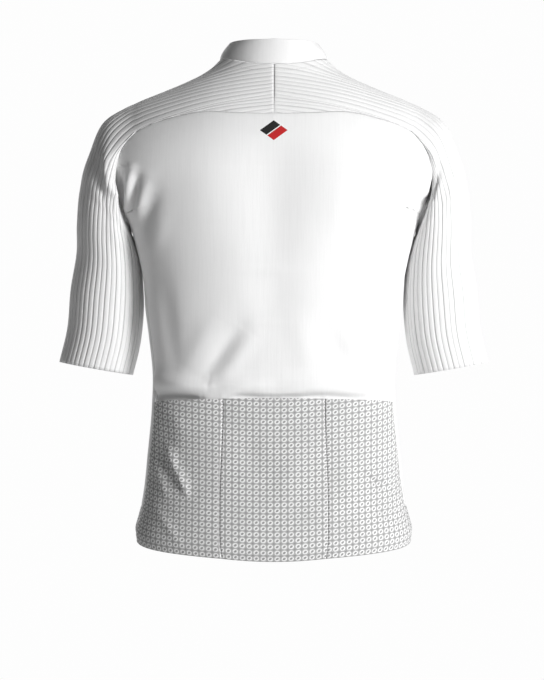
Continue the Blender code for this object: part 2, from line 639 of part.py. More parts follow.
pockets = back[:POCKET_ROW + 1]
half = pockets.shape[1] // 2
ease = np.linspace(0, 1, POCKET_ROW + 1)[:, None] ** 2 * POCKET_EASE
for name, start, stop in (
    ("pocket_right", 0, half - POCKET_COLUMN),
    ("pocket_center", half - POCKET_COLUMN, half + POCKET_COLUMN),
    ("pocket_left", half + POCKET_COLUMN, 2 * half),
):
    width = np.arange(start, stop + 1)
    swell = ease * np.sin(math.pi * (width - start) / (stop - start))
    raised = pockets + normals_of(pockets) * (CLOTH + LAYER_GAP)
    pocket = raised[:, start:stop + 1] + normals_of(pockets)[:, start:stop + 1] * swell[..., None]
    mesh_of(name, [set_back(pocket, ("left", "right"))], CLOTH, GREY, 0.8)
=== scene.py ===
import math

import bmesh
import bpy
import numpy as np
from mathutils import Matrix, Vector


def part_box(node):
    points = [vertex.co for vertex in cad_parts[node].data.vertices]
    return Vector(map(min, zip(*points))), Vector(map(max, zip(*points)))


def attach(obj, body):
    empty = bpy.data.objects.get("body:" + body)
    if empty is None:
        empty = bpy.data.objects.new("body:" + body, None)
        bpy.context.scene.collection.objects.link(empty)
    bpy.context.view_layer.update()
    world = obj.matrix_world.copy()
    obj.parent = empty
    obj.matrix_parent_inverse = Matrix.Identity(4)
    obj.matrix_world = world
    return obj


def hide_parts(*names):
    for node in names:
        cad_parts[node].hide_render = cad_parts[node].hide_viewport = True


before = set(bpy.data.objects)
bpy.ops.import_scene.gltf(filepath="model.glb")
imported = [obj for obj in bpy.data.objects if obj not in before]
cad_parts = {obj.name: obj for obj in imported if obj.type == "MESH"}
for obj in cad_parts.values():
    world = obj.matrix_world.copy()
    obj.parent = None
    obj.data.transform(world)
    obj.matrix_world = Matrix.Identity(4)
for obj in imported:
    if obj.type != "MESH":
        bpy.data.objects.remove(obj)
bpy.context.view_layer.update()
print("frame loaded")

# the worn form: the same sizes as the solids, in metres
form = dict(
    chestLevel=-0.150, neckHalfWidth=0.074, neckHalfDepth=0.068, neckRise=0.018, neckRiseSpread=0.22,
    frontArch=1.5, underarmLevel=-0.222, underarmRise=0.010, zipHalfWidth=0.0032, hemSideLevel=-0.646,
    hemLift=0.022,
    hemRoundness=0.42, bandTop=-0.606, pocketMouth=-0.467, pocketSeam=0.068, neckSeamEnd=math.radians(128),
)
# level, half width, widest place, back, front, squareness
torso = np.array([
    (-0.7, 0.205, 0.012, 0.124, -0.112, 2.35), (-0.646, 0.192, 0.012, 0.121, -0.112, 2.35),
    (-0.607, 0.181, 0.012, 0.113, -0.112, 2.35), (-0.531, 0.1715, 0.012, 0.098, -0.112, 2.35),
    (-0.468, 0.166, 0.012, 0.092, -0.113, 2.35), (-0.431, 0.165, 0.012, 0.094, -0.115, 2.35),
    (-0.377, 0.17, 0.013, 0.104, -0.118, 2.35), (-0.342, 0.1745, 0.014, 0.111, -0.119, 2.35),
    (-0.293, 0.1785, 0.016, 0.118, -0.12, 2.35), (-0.258, 0.1865, 0.017, 0.121, -0.12, 2.35),
    (-0.222, 0.197, 0.016, 0.122, -0.118, 2.35), (-0.178, 0.218, 0.012, 0.12, -0.112, 2.3),
    (-0.15, 0.232, 0.008, 0.118, -0.107, 2.3),
])
# shoulder ridge, yoke seam, chest seam and armhole seams: out from the middle, level
ridge = np.array([
    (0, -0.01), (0.06, -0.014), (0.085, -0.019), (0.101, -0.024), (0.133, -0.036), (0.159, -0.046),
    (0.187, -0.0575), (0.21, -0.07), (0.232, -0.1),
])
yokeSeam = np.array([
    (0, -0.08), (0.05, -0.079), (0.1, -0.0775), (0.14, -0.085), (0.167, -0.0928), (0.185, -0.101),
])
chestSeam = np.array([
    (0.0583, -0.0239), (0.08, -0.051), (0.11, -0.081), (0.14, -0.098), (0.165, -0.113), (0.185, -0.128),
])
armholeBack = np.array([
    (0.185, -0.101), (0.202, -0.12), (0.209, -0.136), (0.214, -0.157), (0.214, -0.178), (0.2, -0.209),
    (0.197, -0.222),
])
armholeFront = np.array([
    (0.185, -0.128), (0.193, -0.146), (0.197, -0.164), (0.198, -0.186), (0.196, -0.208), (0.197, -0.222),
])
# rows of the back: level at the side seam, level at the centre back
sideRows = np.array([
    (-0.646, -0.673), (-0.606, -0.634), (-0.569, -0.597), (-0.531, -0.555), (-0.495, -0.505),
    (-0.467, -0.458), (-0.45, -0.441), (-0.431, -0.421), (-0.4, -0.386), (-0.36, -0.343), (-0.32, -0.301),
    (-0.285, -0.264), (-0.252, -0.231), (-0.222, -0.2),
])
armholeCentre = np.array([-0.200, -0.176, -0.154, -0.132, -0.112, -0.095, -0.080])
# sleeve rings from the shoulder down: outer edge and its level, inner edge and its level, middle, depth,
# squareness
rings = np.array([
    (0.252, -0.128, 0.1945, -0.236, 0.006, 0.06, 2.1), (0.265, -0.176, 0.187, -0.254, 0.001, 0.062, 2.1),
    (0.2695, -0.222, 0.1825, -0.27, -0.004, 0.061, 2.1), (0.2705, -0.262, 0.18, -0.3, -0.009, 0.059, 2.1),
    (0.279, -0.311, 0.179, -0.34, -0.014, 0.056, 2.1), (0.284, -0.364, 0.184, -0.386, -0.019, 0.054, 2.1),
    (0.2955, -0.411, 0.1945, -0.429, -0.024, 0.052, 2.1),
])


def smoothCurve(at, knots, values):
    # cubic through the values at the knots; each slope is the mean of its two sides
    at, knots, values = np.asarray(at, float), np.asarray(knots, float), np.asarray(values, float)
    if knots[0] > knots[-1]:
        knots, values = knots[::-1], values[::-1]
    slopes = np.gradient(values, knots, axis=0)
    at = np.clip(at, knots[0], knots[-1])
    low = np.clip(np.searchsorted(knots, at, side="right") - 1, 0, len(knots) - 2)
    step = knots[low + 1] - knots[low]
    t = (at - knots[low]) / step
    wide = t.shape + (1,) * (values.ndim - 1)
    t, step = t.reshape(wide), step.reshape(wide)
    return (values[low] * (1 + 2 * t) * (1 - t) ** 2 + values[low + 1] * t * t * (3 - 2 * t)
            + step * (slopes[low] * t * (1 - t) ** 2 - slopes[low + 1] * t * t * (1 - t)))


def halve(low, high, isLow, rounds=36):
    # bisection over whole arrays: the middle replaces the low end wherever isLow is true
    for _ in range(rounds):
        middle = (low + high) / 2
        under = isLow(middle)
        low, high = np.where(under, middle, low), np.where(under, high, middle)
    return (low + high) / 2


def section(level):
    # half width, widest place, back, front and squareness of the body at a level
    level = np.minimum(level, form["chestLevel"])
    return [smoothCurve(level, torso[:, 0], torso[:, column]) for column in range(1, 6)]


def backArch(out):
    # the back arch's power, falling in a straight line towards the shoulder
    return np.interp(np.abs(out), (0, 0.19), (2.2, 1.75))


def neckLift(x, y):
    # extra height near the neck: dies away as e to the minus distance from the neck ellipse
    away = np.hypot(x / form["neckHalfWidth"], y / form["neckHalfDepth"]) - 1
    return form["neckRise"] * np.exp(-np.maximum(away, -0.1) / form["neckRiseSpread"])


def excess(x, y, z):
    # below zero inside: a superellipse below the chest, an arch that narrows towards the shoulder above it
    halfWidth, widest, back, front, square = section(z)
    depth = np.where(y > widest, back - widest, widest - front)
    share = np.abs(x) / halfWidth
    body = share ** square + np.abs((y - widest) / depth) ** square - 1
    narrowing = np.maximum(1 - share ** square, 1e-9) ** (1 / square)
    height = np.maximum(smoothCurve(np.abs(x), ridge[:, 0], ridge[:, 1]) - form["chestLevel"], 1e-4)
    rise = np.maximum(z - neckLift(x, y) - form["chestLevel"], 0) / height
    power = np.where(y > widest, backArch(x), form["frontArch"])
    dome = np.abs((y - widest) / (depth * narrowing)) ** power + rise ** power - 1
    return np.where(z > form["chestLevel"], np.where(share < 1, dome, 1.0), body)


def bodyPoint(angle, level):
    # the form by the angle round from the centre back and the level
    angle, level = np.broadcast_arrays(np.asarray(angle, float), np.asarray(level, float))
    widest = section(level)[1]
    reach = halve(np.zeros(angle.shape), np.full(angle.shape, 0.30), lambda r: excess(
        r * np.sin(angle), widest + r * np.cos(angle), level) < 0)
    return np.stack([reach * np.sin(angle), widest + reach * np.cos(angle), level], axis=-1)


def angleAt(out, level, back):
    # the angle of the point that is this far out, on the back or the chest
    out, level = np.broadcast_arrays(np.asarray(out, float), np.asarray(level, float))
    low, high = (0.0, math.pi / 2) if back else (math.pi, math.pi / 2)
    ends = np.full(out.shape, low), np.full(out.shape, high)
    return halve(*ends, lambda angle: bodyPoint(angle, level)[..., 0] < out)


def domePoint(x, y):
    # the top of the form over a place, found by halving
    x, y = np.broadcast_arrays(np.asarray(x, float), np.asarray(y, float))
    low, high = np.full(x.shape, form["chestLevel"]), np.full(x.shape, 0.05)
    return np.stack([x, y, halve(low, high, lambda z: excess(x, y, z) < 0)], axis=-1)


def neckPoint(turn):
    # the neck seam: an ellipse seen from above, dropped on the form
    return domePoint(form["neckHalfWidth"] * np.sin(turn), form["neckHalfDepth"] * np.cos(turn))


def archPoint(out, turn):
    # the arch over the shoulder, that far out: y by a power of cosine, z by a power of sine
    out, turn = np.broadcast_arrays(np.asarray(out, float), np.asarray(turn, float))
    halfWidth, widest, back, front, square = section(np.full(out.shape, form["chestLevel"]))
    narrowing = np.maximum(1 - (out / halfWidth) ** square, 1e-9) ** (1 / square)
    onBack = turn < math.pi / 2
    power = np.where(onBack, backArch(out), form["frontArch"])
    depth = np.where(onBack, back - widest, front - widest) * narrowing
    height = smoothCurve(out, ridge[:, 0], ridge[:, 1]) - form["chestLevel"]
    y = widest + depth * np.abs(np.cos(turn)) ** (2 / power)
    z = form["chestLevel"] + height * np.abs(np.sin(turn)) ** (2 / power) + neckLift(out, y)
    return np.stack([out, y, z], axis=-1)


def turnAt(out, level, back):
    # the turn over the arch at which it reaches a level, on the back or the chest
    low, high = (0.0, math.pi / 2) if back else (math.pi, math.pi / 2)
    out, level = np.broadcast_arrays(np.asarray(out, float), np.asarray(level, float))
    ends = np.full(out.shape, low), np.full(out.shape, high)
    return halve(*ends, lambda turn: archPoint(out, turn)[..., 2] < level)


def sideSeam(level):
    # the side seam's angle, which swings back below the underarm
    return np.interp(level, (-0.33, form["underarmLevel"]), (math.radians(81), math.radians(90)))


def armhole(table, back, share):
    # body angle and level along an armhole seam, share 0 at the underarm and 1 at the shoulder
    seam = table[::-1]
    lengths = np.r_[0, np.cumsum(np.hypot(*np.diff(seam, axis=0).T))]
    place = smoothCurve(share * lengths[-1], lengths, seam)
    angle = angleAt(place[:, 0], place[:, 1], back)
    return np.where(share <= 0, math.pi / 2, angle), place[:, 1]


def normalsOf(grid):
    # the cross product of the steps along rows and columns
    up, across = np.gradient(grid, axis=0), np.gradient(grid, axis=1)
    normal = np.cross(up, across)
    return normal / np.maximum(np.linalg.norm(normal, axis=-1, keepdims=True), 1e-12)


def formNormals(points):
    # the way out of the form: its steepest rise, by differences half a millimetre each way
    step = 0.0005 * np.eye(3)
    rise = [excess(*np.moveaxis(points + s, -1, 0)) - excess(*np.moveaxis(points - s, -1, 0)) for s in step]
    normal = np.stack(rise, axis=-1)
    return normal / np.maximum(np.linalg.norm(normal, axis=-1, keepdims=True), 1e-12)


def walk(grid, axis):
    # distance walked over the grid from its first row or column
    steps = np.linalg.norm(np.diff(grid, axis=axis), axis=-1)
    start = np.zeros_like(np.take(steps, [0], axis=axis))
    return np.concatenate([start, np.cumsum(steps, axis=axis)], axis=axis)


def edgeDistance(grid, edge):
    # each point's distance to the nearest of the points along an edge, taken four to a step
    count = len(edge)
    stops = np.arange(0, count - 0.9, 0.25)
    fine = np.stack([np.interp(stops, np.arange(count), axis) for axis in edge.T], axis=1)
    return np.array([np.linalg.norm(row[:, None] - fine, axis=-1).min(axis=1) for row in grid])


# folds, in world places seen square on
# from x, z to x, z, half width, height, and how much wider the wearer's left side of it is
backFolds = np.array([
    # left armpit, on the back: trough, bright ridge, trough, soft ridge, all meeting under the arm
    (0.211, -0.146, 0.203, -0.206, 0.0056, -0.005, 0), (0.19, -0.152, 0.194, -0.214, 0.0062, 0.0086, 0.2),
    (0.183, -0.168, 0.195, -0.222, 0.0052, -0.0066, 0), (0.168, -0.166, 0.185, -0.222, 0.0088, 0.004, 0.2),
    (0.156, -0.186, 0.179, -0.238, 0.009, -0.003, 0), (0.144, -0.214, 0.162, -0.262, 0.011, 0.0016, 0),
    # left sleeve: a pressed strip beside the seam stands up to a sharp edge, and the sleeve sinks beyond
    (0.224, -0.128, 0.222, -0.18, 0.0085, 0.0082, -0.4),
    (0.2215, -0.172, 0.205, -0.201, 0.0058, 0.0068, -0.4),
    (0.207, -0.195, 0.195, -0.226, 0.0048, 0.0058, -0.3),
    (0.239, -0.13, 0.223, -0.252, 0.012, -0.0034, 0.4), (0.223, -0.188, 0.203, -0.242, 0.008, -0.0034, 0.5),
    (0.221, -0.15, 0.217, -0.158, 0.0028, -0.0016, 0), (0.2215, -0.163, 0.216, -0.171, 0.0026, -0.0016, 0),
    (0.22, -0.177, 0.213, -0.183, 0.0026, -0.0018, 0), (0.213, -0.19, 0.2065, -0.195, 0.0022, -0.0016, 0),
    # right armpit: a deep narrow gap where the back's edge rides over the sleeve
    (-0.224, -0.14, -0.2215, -0.158, 0.0036, -0.003, 0.3),
    (-0.2215, -0.157, -0.2115, -0.188, 0.0042, -0.0082, 0.35),
    (-0.2115, -0.186, -0.195, -0.205, 0.004, -0.007, 0.35),
    (-0.196, -0.202, -0.193, -0.222, 0.0045, -0.007, 0.2),
    (-0.213, -0.132, -0.202, -0.205, 0.0062, 0.004, -0.2),
    (-0.1815, -0.14, -0.185, -0.24, 0.008, -0.0056, 0.4), (-0.172, -0.15, -0.178, -0.23, 0.011, 0.0018, 0),
    (-0.233, -0.172, -0.22, -0.216, 0.008, -0.002, 0),
    # the hollow of the spine and the swell of each shoulder blade
    (0.002, -0.105, 0.001, -0.29, 0.043, -0.0072, 0), (0.095, -0.125, 0.09, -0.23, 0.033, 0.0018, 0),
    (-0.098, -0.125, -0.095, -0.26, 0.033, 0.0028, 0), (0.001, -0.29, 0, -0.36, 0.033, -0.003, 0),
    # slanting drapes above the waist
    (0.044, -0.364, 0.093, -0.43, 0.011, -0.0036, 0), (0.026, -0.372, 0.07, -0.434, 0.012, 0.0022, 0),
    (0.076, -0.35, 0.118, -0.42, 0.014, 0.0022, 0), (-0.07, -0.366, -0.099, -0.428, 0.014, -0.0022, 0),
    (-0.096, -0.36, -0.13, -0.424, 0.014, 0.0018, 0), (0.15, -0.3, 0.134, -0.41, 0.013, -0.003, 0),
    (-0.14, -0.34, -0.15, -0.41, 0.01, -0.0018, 0), (-0.03, -0.34, -0.048, -0.43, 0.016, 0.0012, 0),
])
# the back blouses over the pocket mouths and sinks behind them, unevenly
mouthFolds = np.array([
    (0.162, -0.436, 0.086, -0.442, 0.0115, 0.0088, 0), (0.086, -0.44, 0.01, -0.44, 0.011, 0.006, 0),
    (0.01, -0.44, -0.156, -0.444, 0.011, 0.0054, 0), (0.164, -0.46, 0.098, -0.461, 0.0078, -0.0092, 0),
    (0.074, -0.456, 0.048, -0.451, 0.0032, 0.003, 0), (0.062, -0.456, -0.004, -0.459, 0.0042, -0.0066, 0),
    (0.004, -0.459, -0.062, -0.457, 0.0042, -0.007, 0),
    (-0.044, -0.455, -0.118, -0.459, 0.0042, -0.0062, 0), (-0.11, -0.456, -0.15, -0.46, 0.0045, -0.002, 0),
])
pocketFolds = np.array([
    (0.145, -0.522, 0.132, -0.552, 0.0058, 0.0052, -0.5),
    (0.132, -0.55, 0.115, -0.586, 0.0052, 0.0052, -0.5),
    (0.159, -0.548, 0.144, -0.586, 0.006, 0.0034, -0.3), (0.144, -0.496, 0.15, -0.566, 0.013, -0.0034, 0),
    (0.158, -0.606, 0.124, -0.65, 0.006, 0.0018, 0), (0.14, -0.48, 0.118, -0.5, 0.009, 0.0014, 0),
    (-0.128, -0.566, -0.159, -0.584, 0.0036, -0.0026, 0),
    (-0.114, -0.56, -0.144, -0.574, 0.0036, -0.0016, 0), (-0.118, -0.552, -0.15, -0.57, 0.006, 0.0018, 0),
    (-0.13, -0.6, -0.162, -0.622, 0.005, -0.002, 0), (0.04, -0.5, 0.02, -0.56, 0.016, -0.0016, 0),
    (-0.03, -0.52, -0.01, -0.6, 0.018, 0.0016, 0), (-0.09, -0.502, -0.116, -0.508, 0.0034, -0.0016, 0),
    (-0.086, -0.52, -0.104, -0.6, 0.013, 0.0014, 0),
])
frontFolds = np.array([
    (0.186, -0.15, 0.1925, -0.21, 0.0055, -0.0044, 0.2), (0.176, -0.165, 0.186, -0.222, 0.007, 0.004, 0),
    (0.16, -0.18, 0.174, -0.24, 0.008, -0.003, 0), (-0.185, -0.145, -0.1915, -0.208, 0.0055, -0.004, 0),
    (-0.174, -0.16, -0.185, -0.224, 0.007, 0.0034, 0.2),
    (-0.158, -0.175, -0.172, -0.236, 0.008, -0.0028, 0), (0.05, -0.11, 0.15, -0.185, 0.015, -0.0024, 0),
    (-0.045, -0.118, -0.146, -0.178, 0.015, -0.002, 0), (0.03, -0.43, 0.13, -0.4, 0.014, -0.003, 0),
    (0.025, -0.47, 0.14, -0.455, 0.013, 0.003, 0), (-0.028, -0.418, -0.135, -0.404, 0.014, -0.0028, 0),
    (-0.026, -0.462, -0.138, -0.44, 0.013, 0.0028, 0), (0.012, -0.52, 0.09, -0.535, 0.011, -0.002, 0),
    (-0.012, -0.505, -0.095, -0.528, 0.011, -0.0022, 0), (0.016, -0.3, 0.11, -0.34, 0.022, -0.002, 0),
    (-0.016, -0.32, -0.115, -0.35, 0.022, -0.0018, 0), (0.235, -0.15, 0.22, -0.205, 0.006, -0.0046, 0.2),
    (-0.235, -0.155, -0.221, -0.208, 0.006, -0.0042, 0),
])


def foldLift(grid, normals, *tables):
    # each fold is a bar: a bell across it, a sine's swell along it, narrower towards its end
    lift = np.zeros(grid.shape[:2])
    for folds in tables or (backFolds, frontFolds):
        side = -1 if folds is frontFolds else 1
        facing = np.clip(side * normals[..., 1] * 2.2 - 0.1, 0, 1)
        for x0, z0, x1, z1, width, height, lean in folds:
            start, line = np.array([x0, z0]), np.array([x1 - x0, z1 - z0])
            away = grid[..., ::2] - start
            t = np.clip(away @ line / (line @ line), 0, 1)
            off = np.linalg.norm(away - t[..., None] * line, axis=-1)
            swell = np.sin(math.pi * np.clip(t, 0.02, 0.98)) ** 0.8
            hand = line[0] * away[..., 1] - line[1] * away[..., 0]
            hand = np.tanh(hand / (0.3 * width * np.linalg.norm(line)))
            reach = width * (1.15 - 0.3 * t) * (1 + lean * hand * swell)
            lift += facing * height * (0.25 + 0.75 * swell) * np.exp(-(off / reach) ** 2)
    return lift


# shader maths
class Wire:
    # a shader socket that takes Python arithmetic
    def __init__(self, finish, socket):
        self.finish, self.socket = finish, socket

    def maths(self, operation, *others):
        return self.finish.add("ShaderNodeMath", dict(operation=operation), [self, *others])

    def __add__(self, other):
        return self.maths("ADD", other)

    def __mul__(self, other):
        return self.maths("MULTIPLY", other)

    def __sub__(self, other):
        return self.maths("SUBTRACT", other)

    def __rsub__(self, other):
        return self.finish.add("ShaderNodeMath", dict(operation="SUBTRACT"), [other, self])

    def __truediv__(self, other):
        return self.maths("DIVIDE", other)

    __radd__, __rmul__ = __add__, __mul__

    def step(self, low, high):
        # 0 at low and 1 at high, smooth between
        values = {"Value": self, "From Min": low, "From Max": high, "To Min": 0.0, "To Max": 1.0}
        return self.finish.add("ShaderNodeMapRange", dict(interpolation_type="SMOOTHSTEP"), values)


class Finish:
    # one material: Principled values that stay the same, then whatever varies
    def __init__(self, name, colour, roughness, **fixed):
        self.material = bpy.data.materials.new(name)
        self.material.use_nodes = True
        self.tree = self.material.node_tree
        self.shader = self.tree.nodes["Principled BSDF"]
        self.shader.inputs["Base Color"].default_value = (*colour, 1)
        self.shader.inputs["Roughness"].default_value = roughness
        for key, value in fixed.items():
            self.shader.inputs[key.replace("_", " ")].default_value = value

    def add(self, kind, settings=(), values=(), output=0):
        node = self.tree.nodes.new(kind)
        for key, value in dict(settings).items():
            setattr(node, key, value)
        for key, value in values.items() if isinstance(values, dict) else enumerate(values):
            if isinstance(value, Wire):
                self.tree.links.new(value.socket, node.inputs[key])
            else:
                node.inputs[key].default_value = value
        return Wire(self, node.outputs[output])

    def feed(self, name, wire):
        self.tree.links.new(wire.socket, self.shader.inputs[name])

    def split(self, vector):
        return [self.add("ShaderNodeSeparateXYZ", (), [vector], axis) for axis in range(3)]

    def cloth(self):
        # the piece's own map, in metres or in ribs
        return self.split(self.add("ShaderNodeUVMap", dict(uv_map="cloth")))[:2]

    def place(self):
        return self.add("ShaderNodeTexCoord", (), (), "Object")

    def noise(self, vector, scale, detail=2.0):
        return self.add("ShaderNodeTexNoise", (), {"Vector": vector, "Scale": scale, "Detail": detail})

    def join(self, x, y, z=0.0):
        return self.add("ShaderNodeCombineXYZ", (), [x, y, z])

    def mix(self, factor, first, second):
        values = {0: factor, 6: first, 7: second}
        return self.add("ShaderNodeMix", dict(data_type="RGBA"), values, 2)

    def bump(self, height, distance, strength=1.0):
        values = {"Strength": strength, "Distance": distance, "Height": height}
        self.feed("Normal", self.add("ShaderNodeBump", (), values))


def grey(value, tint=0.0):
    return (value, value, value + tint, 1.0)


def knitHeight(finish, across, along, pitch):
    # fine wales: rounded ridges across, broken by small loops along, with uneven yarn
    wave = (across * (2 * math.pi / pitch)).maths("SINE")
    loops = (along * (2 * math.pi / (pitch * 0.8))).maths("SINE")
    uneven = finish.noise(finish.join(across * 900, along * 45), 1.0, 3.0)
    return wave * 0.35 + loops * 0.12 + uneven


# the groove greys are painted shade: they darken the sleeves' rib grooves as if they lay in shadow
fabrics = dict(
    sheen=0.12, white=0.86, whiteRough=0.78, walePitch=0.0011, grooveShade=0.62, faintGrooveShade=0.68,
    ringAcross=0.0092, ringDown=0.0079, ringRadius=0.40, ground=0.40, ringWhite=0.86,
    printWide=0.0185, printTall=0.0135, printLevel=-0.104, printGap=0.0016,
)


def whiteKnit(name, printed=False):
    # plain fine knit; the back also carries a small two-coloured diamond print
    white = (fabrics["white"],) * 3
    finish = Finish(name, white, fabrics["whiteRough"], Sheen_Weight=fabrics["sheen"], Sheen_Roughness=0.5)
    u, v = finish.cloth()
    height = knitHeight(finish, u, v, fabrics["walePitch"])
    streak = finish.noise(finish.join(u * 420, v * 14), 1.0, 3.0).step(0.35, 0.75)
    colour = finish.mix(streak, grey(fabrics["white"]), grey(fabrics["white"] * 0.97))
    if printed:
        x, y, z = finish.split(finish.place())
        z = z - fabrics["printLevel"]
        wide, tall = fabrics["printWide"], fabrics["printTall"]
        diamond = 1 - (x.maths("ABSOLUTE") / wide + z.maths("ABSOLUTE") / tall).step(0.985, 1.0)
        split = x * (tall / wide) + z
        gap = split.maths("ABSOLUTE").step(fabrics["printGap"] * 0.45, fabrics["printGap"] * 0.55)
        ink = finish.mix(split.step(-0.0001, 0.0001), (0.50, 0.004, 0.006, 1), (0.003, 0.003, 0.003, 1))
        colour = finish.mix(diamond * gap * y.step(0.0, 0.01), colour, ink)
    finish.feed("Base Color", colour)
    finish.bump(height, 0.00022, 0.6)
    return finish.material


def ribbedKnit():
    # the map runs in ribs across and metres along; grooves sit at whole and half ribs, where the colour is
    # darkened as painted shade
    white = (fabrics["white"],) * 3
    finish = Finish("ribbedKnit", white, 0.8, Sheen_Weight=fabrics["sheen"], Sheen_Roughness=0.5)
    u, v = finish.cloth()
    off = (u + 0.5).maths("FRACT") - 0.5
    faint = u.maths("FRACT") - 0.5
    # painted shade: masks of the bold and faint grooves, where the colour darkens as if in shadow
    bold = 1 - off.maths("ABSOLUTE").step(0.025, 0.085)
    faintGrooveShadeMask = 1 - faint.maths("ABSOLUTE").step(0.015, 0.060)
    ticks = (v * (2 * math.pi / 0.0024)).maths("SINE") * 0.5 + 0.5
    yarn = finish.noise(finish.join(u * 55, v * 620), 1.0, 3.0)
    colour = finish.mix(yarn.step(0.3, 0.8), grey(fabrics["white"]), grey(fabrics["white"] * 0.94))
    # painted shade laid into the faint grooves, then into the bold ones
    colour = finish.mix(faintGrooveShadeMask * (0.7 + 0.3 * ticks), colour, grey(fabrics["faintGrooveShade"]))
    colour = finish.mix(bold, colour, grey(fabrics["grooveShade"]))
    finish.feed("Base Color", colour)
    finish.bump(yarn + ticks * 0.4, 0.0002, 0.5)
    return finish.material


def ringMesh():
    # grey ground with a square repeat of white rings, each round a slanting darker eye
    finish = Finish("ringMesh", (fabrics["ground"],) * 3, 0.75, Sheen_Weight=0.06, Sheen_Roughness=0.5)
    u, v = finish.cloth()
    across = (u / fabrics["ringAcross"]).maths("FRACT") - 0.5
    down = (v / fabrics["ringDown"]).maths("FRACT") - 0.5
    radius = (across * across + down * down).maths("SQRT")
    long, short = (across - down) / 0.37, (across + down) / 0.235
    inner = (long * long + short * short).maths("SQRT")
    eye = 1 - inner.step(0.80, 1.1)
    ring = (1 - radius.step(fabrics["ringRadius"] - 0.04, fabrics["ringRadius"] + 0.05)) * (1 - eye)
    between = radius.step(0.52, 0.62)
    weave = finish.noise(finish.join(u, v), 2600.0, 2.0)
    worn = finish.noise(finish.join(u, v), 26.0, 3.0).step(0.3, 0.75)
    colour = finish.mix(weave.step(0.3, 0.7), grey(fabrics["ground"] * 0.9), grey(fabrics["ground"] * 1.12))
    colour = finish.mix(between * 0.7, colour, grey(fabrics["ground"] * 0.6))
    colour = finish.mix(eye * 0.7, colour, grey(fabrics["ground"] * 0.62))
    colour = finish.mix(ring * (0.80 + 0.2 * worn), colour, grey(fabrics["ringWhite"]))
    finish.feed("Base Color", colour)
    finish.bump(ring * 0.8 + weave * 0.5, 0.00025, 0.6)
    return finish.material


def wovenTape():
    finish = Finish("wovenTape", (0.80,) * 3, 0.7)
    u, v = finish.cloth()
    weave = (u * 9000).maths("SINE") * (v * 7000).maths("SINE")
    finish.feed("Base Color", finish.mix(weave.step(-0.6, 0.9), grey(0.72), grey(0.84)))
    finish.bump(weave, 0.0001, 0.6)
    return finish.material


def mouldedTeeth():
    finish = Finish("mouldedTeeth", (0.82,) * 3, 0.35)
    mottle = finish.noise(finish.place(), 900.0)
    finish.feed("Roughness", mottle * 0.2 + 0.28)
    finish.bump(mottle, 0.00005, 0.4)
    return finish.material


def satinMetal():
    finish = Finish("satinMetal", (0.70, 0.70, 0.72), 0.3, Metallic=1.0)
    x, y, z = finish.split(finish.place())
    brushed = finish.noise(finish.join(x * 3000, y * 3000, z * 260), 1.0, 3.0)
    finish.feed("Roughness", brushed * 0.25 + 0.2)
    finish.bump(brushed, 0.00004, 0.5)
    return finish.material


def whiteThread():
    finish = Finish("whiteThread", (0.80,) * 3, 0.6)
    twist = finish.noise(finish.place(), 2400.0)
    finish.feed("Base Color", finish.mix(twist.step(0.3, 0.7), grey(0.50), grey(0.64)))
    finish.bump(twist, 0.0001, 0.5)
    return finish.material


paint = dict(
    knit=whiteKnit("whiteKnit"), printedKnit=whiteKnit("printedKnit", True), ribs=ribbedKnit(),
    mesh=ringMesh(), tape=wovenTape(), teeth=mouldedTeeth(), metal=satinMetal(), thread=whiteThread(),
)
print("finishes made")


# from grids to meshes
def meshFrom(name, patches, finish, wall=0.0, turned=False, weld=False):
    # each patch is a grid of points and its map; quads join neighbours, and the wall grows inwards
    points, maps, faces, start = [], [], [], 0
    for grid, cloth in patches:
        rows, columns = grid.shape[:2]
        index = np.arange(rows * columns).reshape(rows, columns) + start
        quads = np.stack([index[:-1, :-1], index[1:, :-1], index[1:, 1:], index[:-1, 1:]], axis=-1)
        quads = quads.reshape(-1, 4)
        points.append(grid.reshape(-1, 3))
        maps.append(cloth.reshape(-1, 2))
        faces.append(quads[:, ::-1] if turned else quads)
        start += rows * columns
    mesh = bpy.data.meshes.new(name)
    mesh.from_pydata(np.concatenate(points).tolist(), [], np.concatenate(faces).tolist())
    layer = mesh.uv_layers.new(name="cloth")
    corner = np.empty(len(mesh.loops), dtype=np.int32)
    mesh.loops.foreach_get("vertex_index", corner)
    layer.data.foreach_set("uv", np.concatenate(maps)[corner].ravel())
    if weld:
        soft = bmesh.new()
        soft.from_mesh(mesh)
        bmesh.ops.remove_doubles(soft, verts=soft.verts, dist=0.00004)
        soft.to_mesh(mesh)
        soft.free()
    mesh.materials.append(finish)
    mesh.shade_smooth()
    piece = bpy.data.objects.new(name, mesh)
    bpy.context.scene.collection.objects.link(piece)
    if wall:
        thick = piece.modifiers.new("wall", "SOLIDIFY")
        thick.thickness, thick.offset, thick.use_even_offset = wall, -1, False
    return piece


# every piece rides a body, and may stand in for a solid
def sewIn(piece, node, body="jersey"):
    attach(piece, body)
    if node:
        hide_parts(node)


def seamDip(distance, depth=0.0007, width=0.0022):
    # cloth turns in at a seam: a bell of that depth at the edge
    return -depth * np.exp(-(distance / width) ** 2)


def hemTuck(up):
    # the last centimetre above the hem turns in under the edge
    return -0.0045 * np.exp(-(up / 0.0075) ** 2)


# the back
backCut = dict(columns=(40, 62), sideRows=150, armRows=70, wall=0.0008, flat=(0.46, 0.63), area=0.235)


def backRows(sideLevels, armShares):
    # side angle, side level and centre level of each row, from the hem to the shoulder corner
    armAngle, armLevel = armhole(armholeBack, True, armShares)
    angle = np.r_[sideSeam(sideLevels), armAngle]
    side = np.r_[sideLevels, armLevel]
    centre = np.r_[smoothCurve(sideLevels, sideRows[:, 0], sideRows[:, 1]),
                   smoothCurve(armShares, np.linspace(0, 1, len(armholeCentre)), armholeCentre)]
    return angle, side, centre


